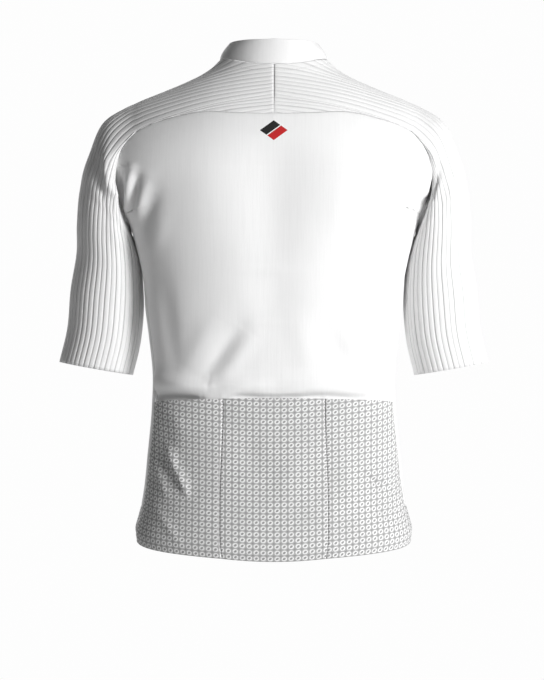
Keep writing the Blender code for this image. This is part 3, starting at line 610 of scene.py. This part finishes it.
def backGrid(sideLevels, armShares, columns):
    # levels run from side to centre by a power of cosine that turns into the yoke seam's own shape
    angleEdge, side, centre = backRows(sideLevels, armShares)
    side, centre = side[:, None], centre[:, None]
    outs = np.linspace(0, yokeSeam[-1, 0], 240)
    levels = smoothCurve(outs, yokeSeam[:, 0], yokeSeam[:, 1])
    shares = angleAt(outs, levels, True)
    shares = shares / shares[-1]
    seamShare = np.interp(form["pocketSeam"], outs, shares)
    share = np.r_[np.linspace(0, seamShare, columns[0])[:-1], np.linspace(seamShare, 1, columns[1])]
    out = np.interp(share, shares, outs)
    seamLevel = smoothCurve(out, yokeSeam[:, 0], yokeSeam[:, 1])
    rise = (side - form["hemSideLevel"]) / (yokeSeam[-1, 1] - form["hemSideLevel"])
    hemShape = np.cos(share * math.pi / 2) ** form["hemRoundness"]
    seamShape = (seamLevel - seamLevel[-1]) / (seamLevel[0] - seamLevel[-1])
    level = side + (centre - side) * (hemShape + rise ** 2 * (seamShape - hemShape))
    if len(armShares):
        level[-1] = seamLevel
    pocketShare = angleAt(form["pocketSeam"], side[:, 0], True) / angleEdge
    held = np.interp(side[:, 0], (-0.40, -0.25), (1, 0))
    held = seamShare + held * (pocketShare - seamShare)
    angle = np.where(share <= seamShare, share / seamShare * held[:, None],
                     held[:, None] + (share - seamShare) / (1 - seamShare) * (1 - held[:, None]))
    half = bodyPoint(angle * angleEdge[:, None], level)
    if len(armShares):
        half[-1] = archPoint(out, turnAt(out, seamLevel, True))
    return np.concatenate([half[:, :0:-1] * (-1, 1, 1), half], axis=1)


def clothMap(grid, start=None):
    # across by the level distance from one column, the middle one unless told, along by the walk up
    across = walk(grid * (1, 1, 0), 1)
    across = across - across[:, across.shape[1] // 2 if start is None else start][:, None]
    return np.stack([across, walk(grid, 0)], axis=-1)


armShares = np.linspace(0, 1, backCut["armRows"]) ** 1.3
backSide = np.linspace(form["hemSideLevel"], form["underarmLevel"], backCut["sideRows"])[:-1]
back = backGrid(backSide, armShares, backCut["columns"])
backNormals = formNormals(back)
aboveMouth = np.clip((backRows(backSide, armShares)[1] - form["pocketMouth"]) / 0.008, 0, 1)[:, None]
# the blouse stops at the mouths, but the hollow below it carries on behind the pockets
mouthLift = foldLift(back, backNormals, mouthFolds)
lift = foldLift(back, backNormals) + np.minimum(mouthLift, mouthLift * aboveMouth)
lift += foldLift(back, backNormals, pocketFolds) + hemTuck(walk(back, 0))
for edge in (back[-1], back[:, 0], back[:, -1]):
    lift += seamDip(edgeDistance(back, edge))
backMade = back + backNormals * lift[..., None]
backPiece = meshFrom("backPanel", [(backMade, clothMap(back))], paint["printedKnit"], backCut["wall"])
sewIn(backPiece, "back_panel")
print("back made")

# the fronts and the hem bands
frontCut = dict(columns=58, sideRows=120, armRows=46, chestRows=56, wall=0.0008, flat=(0.29, 0.62),
                area=0.135, bandRows=16, bandFlat=(0.26, 0.042), easeRows=8)


def frontGrid(sideLevels, armShares, chestShares):
    # columns run from the zip to the side; levels pass from the zip's to the edge's by a squared sine
    armAngle, armLevel = armhole(armholeFront, False, armShares)
    out = chestSeam[-1, 0] + chestShares * (chestSeam[0, 0] - chestSeam[-1, 0])
    chestLevel = smoothCurve(out, chestSeam[:, 0], chestSeam[:, 1])
    chest = archPoint(out, turnAt(out, chestLevel, False))
    chestAngle = np.arctan2(chest[:, 0], chest[:, 1] - section(chest[:, 2])[1])
    levelEdge = np.r_[sideLevels, armLevel, chest[:, 2]]
    angleEdge = np.r_[sideSeam(sideLevels), armAngle, chestAngle]
    zipTurn = math.pi - math.asin(form["zipHalfWidth"] / form["neckHalfWidth"])
    top = neckPoint(np.linspace(zipTurn, form["neckSeamEnd"], frontCut["columns"]))
    zipLevel = np.interp(
        levelEdge, (form["hemSideLevel"], form["underarmLevel"], chestSeam[-1, 1], top[-1, 2]),
        (form["hemSideLevel"] + form["hemLift"], form["underarmLevel"] + form["underarmRise"],
         chestSeam[-1, 1], top[0, 2]))
    share = np.linspace(0, 1, frontCut["columns"])
    zipAngle = math.pi - math.asin(form["zipHalfWidth"] / 0.122)
    angle = zipAngle - share * (zipAngle - angleEdge[:, None])
    level = zipLevel[:, None] + np.sin(share * math.pi / 2) ** 2 * (levelEdge - zipLevel)[:, None]
    grid = bodyPoint(angle, level)
    if len(chestShares):
        grid[-len(chest):, -1] = chest
        # the last rows ease into the neck seam
        fromTop = np.arange(len(grid)) - len(grid) + 1
        ease = np.clip(fromTop / frontCut["easeRows"] + 1, 0, 1)[:, None, None] ** 2
        grid = grid * (1 - ease) + (grid + (top - grid[-1])) * ease
    grid[:, 0, 0] = form["zipHalfWidth"]
    return grid


frontSide = np.linspace(form["bandTop"], form["underarmLevel"], frontCut["sideRows"])[:-1]
frontArm = np.linspace(0, 1, frontCut["armRows"])[:-1] ** 1.3
front = frontGrid(frontSide, frontArm, np.linspace(0, 1, frontCut["chestRows"]))
bandSide = np.linspace(form["hemSideLevel"], form["bandTop"], frontCut["bandRows"])
band = frontGrid(bandSide, np.zeros(0), np.zeros(0))
fronts = {}
for side, hand in (("left", 1), ("right", -1)):
    for name, node, grid, finish, slot, flat, area in (
        (f"{side}Front", f"front_{side}", front, "knit", "cloth", frontCut["flat"], frontCut["area"]),
        (f"{side}HemBand", f"hem_band_{side}", band, "mesh", "mesh_cloth", frontCut["bandFlat"], None),
    ):
        turned = grid * (hand, 1, 1)
        normals = formNormals(grid) * (hand, 1, 1)
        lift = foldLift(turned, normals)
        if grid is band:
            lift += hemTuck(walk(grid, 0))
        for edge in (grid[-1], grid[0], grid[:, -1]):
            lift += seamDip(edgeDistance(grid, edge), 0.0005)
        made = turned + normals * lift[..., None]
        cloth = clothMap(grid, 0) * (hand, 1)
        piece = meshFrom(name, [(made, cloth)], paint[finish], frontCut["wall"], turned=hand > 0)
        sewIn(piece, node)
        fronts[name] = made
print("fronts made")

# the sleeves, each with its half of the yoke
sleeveCut = dict(
    ribs=22, first=2.5, yokeRib=8.5, chestRib=18.5, centreRib=5.87, saddleRows=70, sleeveRows=92,
    shoulderRows=44, wall=0.0008,
    sweep=1.15, fall=0.55, steadyRib=15.5, boldDepth=0.0009, faintDepth=0.0006, crown=0.00035,
    deltoid=(0.0080, 0.0, 0.0100), clearance=0.0012, flat=(0.44, 0.62), area=0.158,
)
# where each rib is sampled: close at the bold groove (0) and the faint one (0.5)
ribSamples = np.array([
    0, 0.028, 0.058, 0.10, 0.18, 0.31, 0.42, 0.46, 0.5, 0.54, 0.58, 0.69, 0.82, 0.90, 0.942, 0.972,
])


def ribDepth(phase):
    # a bell-shaped groove at each whole rib and a smaller one half way, with rounded crowns between
    bold = np.abs(phase - np.round(phase))
    faint = np.abs((phase + 0.5) - np.round(phase + 0.5))
    return (sleeveCut["crown"] * np.abs(np.sin(2 * math.pi * phase)) ** 0.7
            - sleeveCut["boldDepth"] * np.exp(-(bold / 0.052) ** 2)
            - sleeveCut["faintDepth"] * np.exp(-(faint / 0.042) ** 2))


def saddleEdges(out):
    # the turns over the arch at which it meets the yoke seam and the chest seam
    back = turnAt(out, smoothCurve(out, yokeSeam[:, 0], yokeSeam[:, 1]), True)
    front = turnAt(out, smoothCurve(out, chestSeam[:, 0], chestSeam[:, 1]), False)
    return back, front


def saddlePoint(out, share):
    # a point of the saddle by its distance out and its share of the way from the yoke seam to the chest seam
    low, high = saddleEdges(out)
    return archPoint(out, low + (high - low) * share)


def neckShare(points):
    # how far across the saddle a point of the neck seam lies, from the arch's formula turned round
    halfWidth, widest, back, front, square = section(np.full(len(points), form["chestLevel"]))
    out, y = points[:, 0], points[:, 1]
    narrowing = (1 - (out / halfWidth) ** square) ** (1 / square)
    onBack = y > widest
    power = np.where(onBack, backArch(out), form["frontArch"])
    depth = np.where(onBack, back - widest, widest - front) * narrowing
    cosine = np.clip(np.abs((y - widest) / depth), 0, 1) ** (power / 2)
    turn = np.where(onBack, np.arccos(cosine), math.pi - np.arccos(cosine))
    low, high = saddleEdges(out)
    return np.clip((turn - low) / (high - low), 0, 1)


# where ribs run into the neck seam (rib, degrees round from the centre back) and the yoke seam (rib, out)
neckRibs = np.array([(12.35, 0), (13, 31), (14, 60), (15.6, 92), (18.5, 128)])
yokeRibs = np.array([(5.87, 0), (6.4, 0.036), (7, 0.0735), (8, 0.136), (8.5, 0.183)])


def saddleGrid(phase):
    # rows run from the yoke seam and the shoulder's end (0) to the centre-back seam and the neck (last)
    onYoke, onNeck = phase < sleeveCut["yokeRib"], phase >= neckRibs[0, 0]
    share = np.clip((phase - sleeveCut["yokeRib"]) / (sleeveCut["chestRib"] - sleeveCut["yokeRib"]), 0, 1)
    neck = neckPoint(np.radians(smoothCurve(phase, neckRibs[:, 0], neckRibs[:, 1])))
    across = neckShare(neck)
    across[-1] = 1
    atNeck = across[np.argmax(onNeck)]
    centreShare = (phase - sleeveCut["centreRib"]) / (neckRibs[0, 0] - sleeveCut["centreRib"]) * atNeck
    endShare = np.where(onNeck, across, centreShare)
    endOut = np.where(onNeck, neck[:, 0], 0)
    startOut = np.where(onYoke, smoothCurve(phase, yokeRibs[:, 0], yokeRibs[:, 1]),
                        yokeSeam[-1, 0] + 0.014 * np.sin(math.pi * share))
    t = np.linspace(0, 1, sleeveCut["saddleRows"])[:, None]
    out = startOut + t * (endOut - startOut)
    # on the back a rib falls steadily outwards, told by height less a share of depth that grows outwards
    low = np.clip((13.5 - phase) / 3, 0, 1)
    depthShare = 1 - 0.75 * t * low
    start, end = saddlePoint(startOut, share), saddlePoint(endOut, endShare)
    climb = [point[..., 2] - depthShare * point[..., 1] for point in (start, end)]
    straight = sleeveCut["fall"] + 0.25 * low
    fall = straight * (1 - t) + (1 - straight) * (1 - t) ** 2
    wanted = climb[1] + (climb[0] - climb[1]) * fall

    def isBelow(middle):
        point = saddlePoint(out, middle)
        return point[..., 2] - depthShare * point[..., 1] < wanted

    steady = halve(np.zeros(out.shape), np.full(out.shape, 0.8), isBelow)
    onBack = np.clip((sleeveCut["steadyRib"] - phase) / 2.5, 0, 1)
    onBack = onBack ** 2 * (3 - 2 * onBack) * np.minimum(1, 8 * t)
    plain = share + t ** sleeveCut["sweep"] * (endShare - share)
    grid = saddlePoint(out, plain + onBack * (steady - plain))
    grid[-1] = np.where(onNeck[:, None], neck, grid[-1])
    return grid


def ringPoint(ring, share):
    # a superellipse round the arm, share 0 at its inner edge and then round by the back
    outer, inner = np.array([ring[0], ring[4], ring[1]]), np.array([ring[2], ring[4], ring[3]])
    angle = 2 * math.pi * share
    lobe = (np.abs(np.cos(angle)) ** ring[6] + np.abs(np.sin(angle)) ** ring[6]) ** (-1 / ring[6])
    across, deep = (inner - outer) / 2, np.array([0, ring[5], 0])
    across, deep = (lobe * np.cos(angle))[:, None] * across, (lobe * np.sin(angle))[:, None] * deep
    return (outer + inner) / 2 + across + deep


def armGrid(phase, shoulder, inner):
    # a cubic down each column through the armhole, the shoulder's rounding and the rings
    low, high = sleeveCut["yokeRib"], sleeveCut["chestRib"]
    share = (phase - sleeveCut["first"]) / sleeveCut["ribs"]
    first, last = sleeveCut["first"], sleeveCut["first"] + sleeveCut["ribs"]
    backLoop = bodyPoint(*armhole(armholeBack, True, np.clip((phase - first) / (low - first), 0, 1)))
    frontLoop = bodyPoint(*armhole(armholeFront, False, np.clip((last - phase) / (last - high), 0, 1)))
    loop = np.where((phase < low)[:, None], backLoop, frontLoop)
    onSaddle = (phase >= low) & (phase <= high)
    loop[onSaddle] = shoulder
    upper = ringPoint(rings[0], share)
    over = np.sin(math.pi * share)[:, None]
    half = (loop + upper) / 2 + over * np.array(sleeveCut["deltoid"])
    before = 2 * loop - half
    reach = np.linalg.norm(inner - shoulder, axis=-1, keepdims=True)
    span = np.linalg.norm(half[onSaddle] - loop[onSaddle], axis=-1, keepdims=True)
    before[onSaddle] = shoulder + (inner - shoulder) / reach * span
    stack = np.stack([before, loop, half, upper] + [ringPoint(ring, share) for ring in rings[1:]])
    knots = np.r_[-0.5, 0, 0.5, np.arange(1, len(rings) + 1)]
    shoulderRows = sleeveCut["shoulderRows"]
    lowerRows = sleeveCut["sleeveRows"] - shoulderRows + 1
    stops = np.r_[np.linspace(0, 2, shoulderRows)[:-1], np.linspace(2, len(rings), lowerRows)]
    grid = smoothCurve(stops, knots, stack)
    clear = np.clip(stops / 2, 0, 1)[:, None] * sleeveCut["clearance"]
    for _ in range(14):
        value = excess(grid[..., 0] - clear, grid[..., 1], grid[..., 2])
        push = np.where(value < 0, np.clip(-value * 0.09, 0, 0.02), 0)
        push[0] = 0
        grid[..., 0] += push
    return grid


whole = (np.arange(30)[:, None] + ribSamples).ravel()
low, high, first = sleeveCut["yokeRib"], sleeveCut["chestRib"], sleeveCut["first"]
armPhase = whole[(whole >= first) & (whole <= first + sleeveCut["ribs"])]
centre = sleeveCut["centreRib"]
saddlePhase = np.r_[centre, whole[(whole > centre + 0.01) & (whole <= high)]]
onSaddle = (armPhase >= low) & (armPhase <= high)
onShoulder = saddlePhase >= low
saddle = saddleGrid(saddlePhase)
arm = armGrid(armPhase, saddle[0, onShoulder], saddle[4, onShoulder])
saddleNormals, armNormals = formNormals(saddle), -normalsOf(arm)
for side, hand in (("left", 1), ("right", -1)):
    patches = []
    for grid, normals, phase in ((arm, armNormals, armPhase), (saddle, saddleNormals, saddlePhase)):
        isArm = grid is arm
        turned, facing = grid * (hand, 1, 1), normals * (hand, 1, 1)
        along = walk(grid, 0)
        if isArm:
            edge = np.where(onSaddle, 1.0, along)
            rib = np.where(onSaddle, 1.0, 1 - np.exp(-(along / 0.004) ** 2))
        else:
            toEnd = along[-1:] - along
            toYoke = np.where(onShoulder, 1.0, along)
            edge = np.minimum(toEnd, toYoke)
            rib = 1 - np.exp(-(edge / 0.0025) ** 2)
        lift = foldLift(turned, facing) + ribDepth(phase) * rib + seamDip(edge, 0.0004, 0.0014)
        cloth = np.stack([np.broadcast_to(phase, along.shape), along if isArm else 1 - along], axis=-1)
        patches.append((turned + facing * lift[..., None], cloth))
    # the two patches share the shoulder line, whose lift is taken from the sleeve
    patches[1][0][0, onShoulder] = patches[0][0][0, onSaddle]
    patches[0] = (patches[0][0][::-1], patches[0][1][::-1])
    piece = meshFrom(f"{side}Sleeve", patches, paint["ribs"], sleeveCut["wall"], turned=hand < 0, weld=True)
    sewIn(piece, f"sleeve_{side}")
print("sleeves made")

# the collar: one folded strip, its profile carried round the neck
collarCut = dict(height=0.034, sideDrop=0.012, frontDrop=0.003, lean=0.15, bow=1.8, thick=0.0022,
                 columns=150, ripple=0.0004, flat=(0.42, 0.036))


def collarGrid():
    # outer wall up, a half circle over the top edge, inner wall down
    turns = np.linspace(-1, 1, collarCut["columns"]) * (math.pi - math.asin(
        form["zipHalfWidth"] / form["neckHalfWidth"]))
    base = neckPoint(turns)
    toFront = (1 - np.cos(turns)) / 2
    drop = collarCut["sideDrop"] * np.sin(turns) ** 2 + collarCut["frontDrop"] * toFront
    height = collarCut["height"] - drop
    radius = collarCut["thick"] / 2
    inward = base * (-1, -1, 0)
    inward = inward / np.linalg.norm(inward, axis=-1, keepdims=True)
    up = np.r_[np.linspace(0, 1, 22), np.ones(9), np.linspace(1, 0, 22)]
    bow = np.r_[np.zeros(22), np.linspace(0, math.pi, 11)[1:-1], np.full(22, math.pi)]
    t = up[:, None]
    grid = np.broadcast_to(base, (len(up), *base.shape)).copy()
    lean = collarCut["lean"] * t ** collarCut["bow"]
    grid[..., 0] *= 1 - lean
    grid[..., 1] *= 1 - lean * (0.5 - 0.35 * np.clip(toFront * 4 - 1.5, 0, 1))
    grid[..., 2] += 0.0002 + (height - radius) * t + radius * np.sin(bow)[:, None]
    return grid + inward * (radius * (1 - np.cos(bow)))[:, None, None]


collar = collarGrid()
columns = collar.shape[1]
ripple = collarCut["ripple"] * np.sin(np.linspace(0, 31, columns)) * np.sin(np.linspace(0, 17, columns) + 1)
collar[1:-1, 1:-1] += (normalsOf(collar) * ripple[:, None])[1:-1, 1:-1]
# each end is closed by two columns that run in to its middle
ends = []
for end in (collar[:, :1], collar[:, -1:]):
    ends.append(np.concatenate([end * (1 - s) + end.mean(0, keepdims=True) * s for s in (1, 0.5)], axis=1))
collar = np.concatenate([ends[0], collar, ends[1][:, ::-1]], axis=1)
collar = np.concatenate([collar, collar[:1]], axis=0)
collarPiece = meshFrom("standCollar", [(collar, clothMap(collar))], paint["knit"], weld=True)
sewIn(collarPiece, "collar")
print("collar made")

# the pockets, laid on the back
pocketCut = dict(rows=96, columns=(44, 44), lift=0.0013, ease=0.0022, wall=0.0007, hemTurn=0.0095,
                 flats=dict(left=(0.12, 0.21), center=(0.14, 0.22), right=(0.12, 0.21)))
pocketSide = np.linspace(form["hemSideLevel"], form["pocketMouth"], pocketCut["rows"])
pocketBase = backGrid(pocketSide, np.zeros(0), pocketCut["columns"])
pocketNormals = formNormals(pocketBase)
pocketMap = clothMap(pocketBase)
pocketLift = foldLift(pocketBase, pocketNormals, pocketFolds) + hemTuck(walk(pocketBase, 0))
middle, reach = pocketBase.shape[1] // 2, pocketCut["columns"][0] - 1
pocketMesh = {}
for side, start, stop, shift in (
    ("right", 0, middle - reach, 0.0038), ("center", middle - reach, middle + reach, 0),
    ("left", middle + reach, 2 * middle, 0.0012),
):
    grid, normals = pocketBase[:, start:stop + 1], pocketNormals[:, start:stop + 1]
    across, up = walk(grid, 1), walk(grid, 0)
    toSeam = np.minimum(across, across[:, -1:] - across)
    toMouth = up[-1:] - up
    arch = np.clip(np.sin(math.pi * across / across[:, -1:]), 0, 1) ** 0.6
    swell = pocketCut["ease"] * (up / up[-1:]) ** 3 * arch
    lift = pocketCut["lift"] + pocketLift[:, start:stop + 1] + swell + seamDip(toSeam, 0.0006, 0.0014)
    for distance in (toMouth, up):
        lift = lift + seamDip(distance - pocketCut["hemTurn"], 0.0003, 0.0012)
    cloth = pocketMap[:, start:stop + 1] + (shift, 0)
    made = grid + normals * lift[..., None]
    piece = meshFrom(f"{side}Pocket", [(made, cloth)], paint["mesh"], pocketCut["wall"])
    sewIn(piece, f"pocket_{side}")
    pocketMesh[side] = (made, normals)
print("pockets made")

# the zip
zipCut = dict(tapeGap=0.0005, tapeWidth=0.012, tapeWall=0.0008, drop=0.0014, pitch=0.0016,
              tooth=(0.0026, 0.0010, 0.0009), stagger=0.00065, collarDrop=0.0013, bevel=0.0003,
              flat=(0.012, 0.66))


def zipStrip(reach):
    # the front's edge and the collar's end, carried straight across to each distance from the middle
    frontEdge, collarEdge = front[:, :2], collarGrid()[:22, -1:-3:-1]
    bandEdge = band[:-1, :2]
    edge = np.concatenate([bandEdge, frontEdge, collarEdge[2:]])
    across = (edge[:, 1:] - edge[:, :1]) / np.abs(edge[:, 1:] - edge[:, :1])[..., :1]
    strip = edge[:, :1] + across * (reach - form["zipHalfWidth"])[:, None]
    for _ in range(6):
        strip[1:-1] = (strip[:-2] + strip[1:-1] * 2 + strip[2:]) / 4
    inside = -normalsOf(strip)
    inside = inside * np.sign(inside[..., 1:2])
    collarStart = len(bandEdge) + len(frontEdge)
    knots, depths = (collarStart - 12, collarStart), (0, zipCut["collarDrop"])
    deep = np.interp(np.arange(len(strip)), knots, depths)
    return strip + inside * (zipCut["drop"] + deep)[:, None, None]


tape = zipStrip(np.array([zipCut["tapeGap"], 0.002, 0.004, 0.008, zipCut["tapeWidth"]]))
for side, hand in (("left", 1), ("right", -1)):
    cloth = clothMap(tape)
    made = tape * (hand, 1, 1)
    piece = meshFrom(f"{side}ZipTape", [(made, cloth)], paint["tape"], zipCut["tapeWall"], turned=hand > 0)
    sewIn(piece, f"zip_tape_{side}")


def laidBlocks(name, centres, along, outward, sizes, finish, body="jersey"):
    # one small block with a raised middle for each centre: along, across and outward by its own axes
    across = np.cross(along, outward)
    across = across / np.linalg.norm(across, axis=-1, keepdims=True)
    outward = np.cross(across, along)
    length, width, height = sizes
    stops = np.array([(-0.5, 0.45, 0.1), (0, 1.0, 1.0), (0.5, 0.45, 0.1)])
    shape = []
    for a, w, h in stops:
        for c, o in ((-0.5, 0), (-0.3, h), (0.3, h), (0.5, 0)):
            shape.append((a * length, c * w * width, o * height))
    shape = np.array(shape)
    points = (centres[:, None] + shape[:, 0, None] * along[:, None] + shape[:, 1, None] * across[:, None]
              + shape[:, 2, None] * outward[:, None])
    one = []
    for s in (0, 1):
        for k in range(4):
            a, b = s * 4 + k, s * 4 + (k + 1) % 4
            one.append((a, b, b + 4, a + 4))
    one += [(3, 2, 1, 0), (8, 9, 10, 11)]
    faces = (np.array(one)[None] + np.arange(len(centres))[:, None, None] * 12).reshape(-1, 4)
    mesh = bpy.data.meshes.new(name)
    mesh.from_pydata(points.reshape(-1, 3).tolist(), [], faces.tolist())
    mesh.materials.append(finish)
    tidyMesh = bmesh.new()
    tidyMesh.from_mesh(mesh)
    bmesh.ops.recalc_face_normals(tidyMesh, faces=tidyMesh.faces)
    tidyMesh.to_mesh(mesh)
    tidyMesh.free()
    piece = bpy.data.objects.new(name, mesh)
    bpy.context.scene.collection.objects.link(piece)
    sewIn(piece, None, body=body)
    return piece


def spaced(line, pitch):
    # places and directions along a line, one for each pitch
    lengths = np.r_[0, np.cumsum(np.linalg.norm(np.diff(line, axis=0), axis=1))]
    at = np.arange(pitch / 2, lengths[-1], pitch)
    points = np.stack([np.interp(at, lengths, axis) for axis in line.T], axis=1)
    along = np.gradient(points, axis=0)
    return points, along / np.linalg.norm(along, axis=1, keepdims=True)


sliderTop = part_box("zip_slider")[1][2]
midLine = tape[:, 0] * (0, 1, 1)
midLine = midLine[midLine[:, 2] < sliderTop]
places, along = spaced(midLine, zipCut["pitch"])
outward = np.cross(along, np.array([1.0, 0, 0]))
outward = outward * np.sign(-outward[:, 1:2])
sides = np.where(np.arange(len(places)) % 2, 1, -1)[:, None] * np.array([zipCut["stagger"], 0, 0])
acrossTooth = np.broadcast_to(np.array([1.0, 0, 0]), along.shape)
places = places + sides + outward * 0.0001
laidBlocks("zipTeeth", places, acrossTooth, outward, zipCut["tooth"], paint["teeth"])


def roundedCopy(name, node, body):
    # the solid's own shape with its edges softened
    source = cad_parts[node]
    mesh = source.data.copy()
    soft = bmesh.new()
    soft.from_mesh(mesh)
    soft.transform(source.matrix_world)
    bmesh.ops.remove_doubles(soft, verts=soft.verts, dist=0.00002)
    bmesh.ops.dissolve_limit(soft, angle_limit=math.radians(4), verts=soft.verts, edges=soft.edges)
    soft.to_mesh(mesh)
    soft.free()
    mesh.materials.clear()
    mesh.materials.append(paint["metal"])
    mesh.shade_smooth()
    piece = bpy.data.objects.new(name, mesh)
    bpy.context.scene.collection.objects.link(piece)
    rounding = piece.modifiers.new("edges", "BEVEL")
    rounding.width, rounding.segments, rounding.harden_normals = zipCut["bevel"], 2, True
    rounding.limit_method, rounding.angle_limit = "ANGLE", math.radians(35)
    sewIn(piece, node, body=body)
    return piece


roundedCopy("zipSlider", "zip_slider", "jersey")
roundedCopy("zipPull", "zip_pull", "pull")
print("zip made")

# stitching
thread = dict(size=(0.0022, 0.00045, 0.0003), pitch=0.0030, seamGap=0.00165, neckSpan=(-82, 34),
              neckDrop=1.078)
lines = []
for side, (made, normals) in pocketMesh.items():
    up, across = walk(made, 0), walk(made, 1)
    for distance in (up[-1:] - up, up):
        row = int(np.median(np.argmin(np.abs(distance - pocketCut["hemTurn"]), axis=0)))
        lines.append((made[row], normals[row]))
    for edge, wanted in ((0, across), (-1, across[:, -1:] - across)):
        if (side == "left" and edge == -1) or (side == "right" and edge == 0):
            continue
        column = int(np.median(np.argmin(np.abs(wanted - thread["seamGap"]), axis=1)))
        lines.append((made[:, column], normals[:, column]))
places, directions, faceOut = [], [], []
for line, normal in lines:
    points, along = spaced(line, thread["pitch"])
    lengths = np.r_[0, np.cumsum(np.linalg.norm(np.diff(line, axis=0), axis=1))]
    at = np.arange(thread["pitch"] / 2, lengths[-1], thread["pitch"])
    places.append(points)
    directions.append(along)
    faceOut.append(np.stack([np.interp(at, lengths, axis) for axis in normal.T], axis=1))
places, directions, faceOut = (np.concatenate(part) for part in (places, directions, faceOut))
# the neck tape's topstitching shows as a row on the yoke just below the collar
neckLine = neckPoint(np.radians(np.linspace(*thread["neckSpan"], 120))) * thread["neckDrop"]
neckLine = domePoint(neckLine[:, 0], neckLine[:, 1])
neckLine = neckLine + 0.0003 * formNormals(neckLine)
neckPlaces, neckAlong = spaced(neckLine, thread["pitch"])
laidBlocks("neckStitches", neckPlaces, neckAlong, formNormals(neckPlaces), thread["size"], paint["thread"])
laidBlocks("pocketStitches", places, directions, faceOut, thread["size"], paint["thread"])
print("stitching made")

# studio
studio = dict(floorSize=1.6, eye=(0.0023, 3.0, -0.381), view=0.932, floorLevel=-1.15, white=0.985, fill=0.12,
              key=(-2.17, 2.25, 0.30), keySize=1.1, keyPower=110.0, side=(-2.4, -0.6, -0.2), sideSize=1.6,
              sidePower=8.0, front=(0.9, -2.6, 0.5), frontSize=2.0, frontPower=70.0)
scene = bpy.context.scene
scene.view_settings.view_transform = "Standard"
world = bpy.data.worlds.new("studio")
scene.world = world
world.use_nodes = True
nodes, links = world.node_tree.nodes, world.node_tree.links
rays = nodes.new("ShaderNodeLightPath")
strength = nodes.new("ShaderNodeMix")
strength.inputs[2].default_value, strength.inputs[3].default_value = studio["fill"], studio["white"]
links.new(rays.outputs["Is Camera Ray"], strength.inputs[0])
links.new(strength.outputs[0], nodes["Background"].inputs["Strength"])
nodes["Background"].inputs["Color"].default_value = (1, 1, 1, 1)

floorMesh = bpy.data.meshes.new("floor")
size, level = studio["floorSize"], studio["floorLevel"]
corners = [(x * size, y * size, level) for x, y in ((-1, -1), (1, -1), (1, 1), (-1, 1))]
floorMesh.from_pydata(corners, [], [(0, 1, 2, 3)])
floorFinish = Finish("paleFloor", (0.86, 0.86, 0.86), 0.9)
floorMesh.materials.append(floorFinish.material)
floor = bpy.data.objects.new("floor", floorMesh)
scene.collection.objects.link(floor)


def areaLight(name, place, size, power):
    light = bpy.data.lights.new(name, "AREA")
    light.shape, light.size, light.energy = "DISK", size, power
    lamp = bpy.data.objects.new(name, light)
    scene.collection.objects.link(lamp)
    aim = np.array([0, 0, -0.35]) - np.array(place)
    lamp.location = place
    tilt, heading = math.atan2(math.hypot(aim[0], aim[1]), -aim[2]), math.atan2(aim[1], aim[0])
    lamp.rotation_euler = (tilt, 0, heading - math.pi / 2)


areaLight("key", studio["key"], studio["keySize"], studio["keyPower"])
areaLight("side", studio["side"], studio["sideSize"], studio["sidePower"])
areaLight("behind", studio["front"], studio["frontSize"], studio["frontPower"])

lens = bpy.data.cameras.new("camera")
camera = bpy.data.objects.new("camera", lens)
scene.collection.objects.link(camera)
camera.location = studio["eye"]
camera.rotation_euler = (math.pi / 2, 0, math.pi)
lens.sensor_fit = "VERTICAL"
lens.angle = 2 * math.atan(studio["view"] / 2 / studio["eye"][1])
scene.camera = camera
print("studio made")
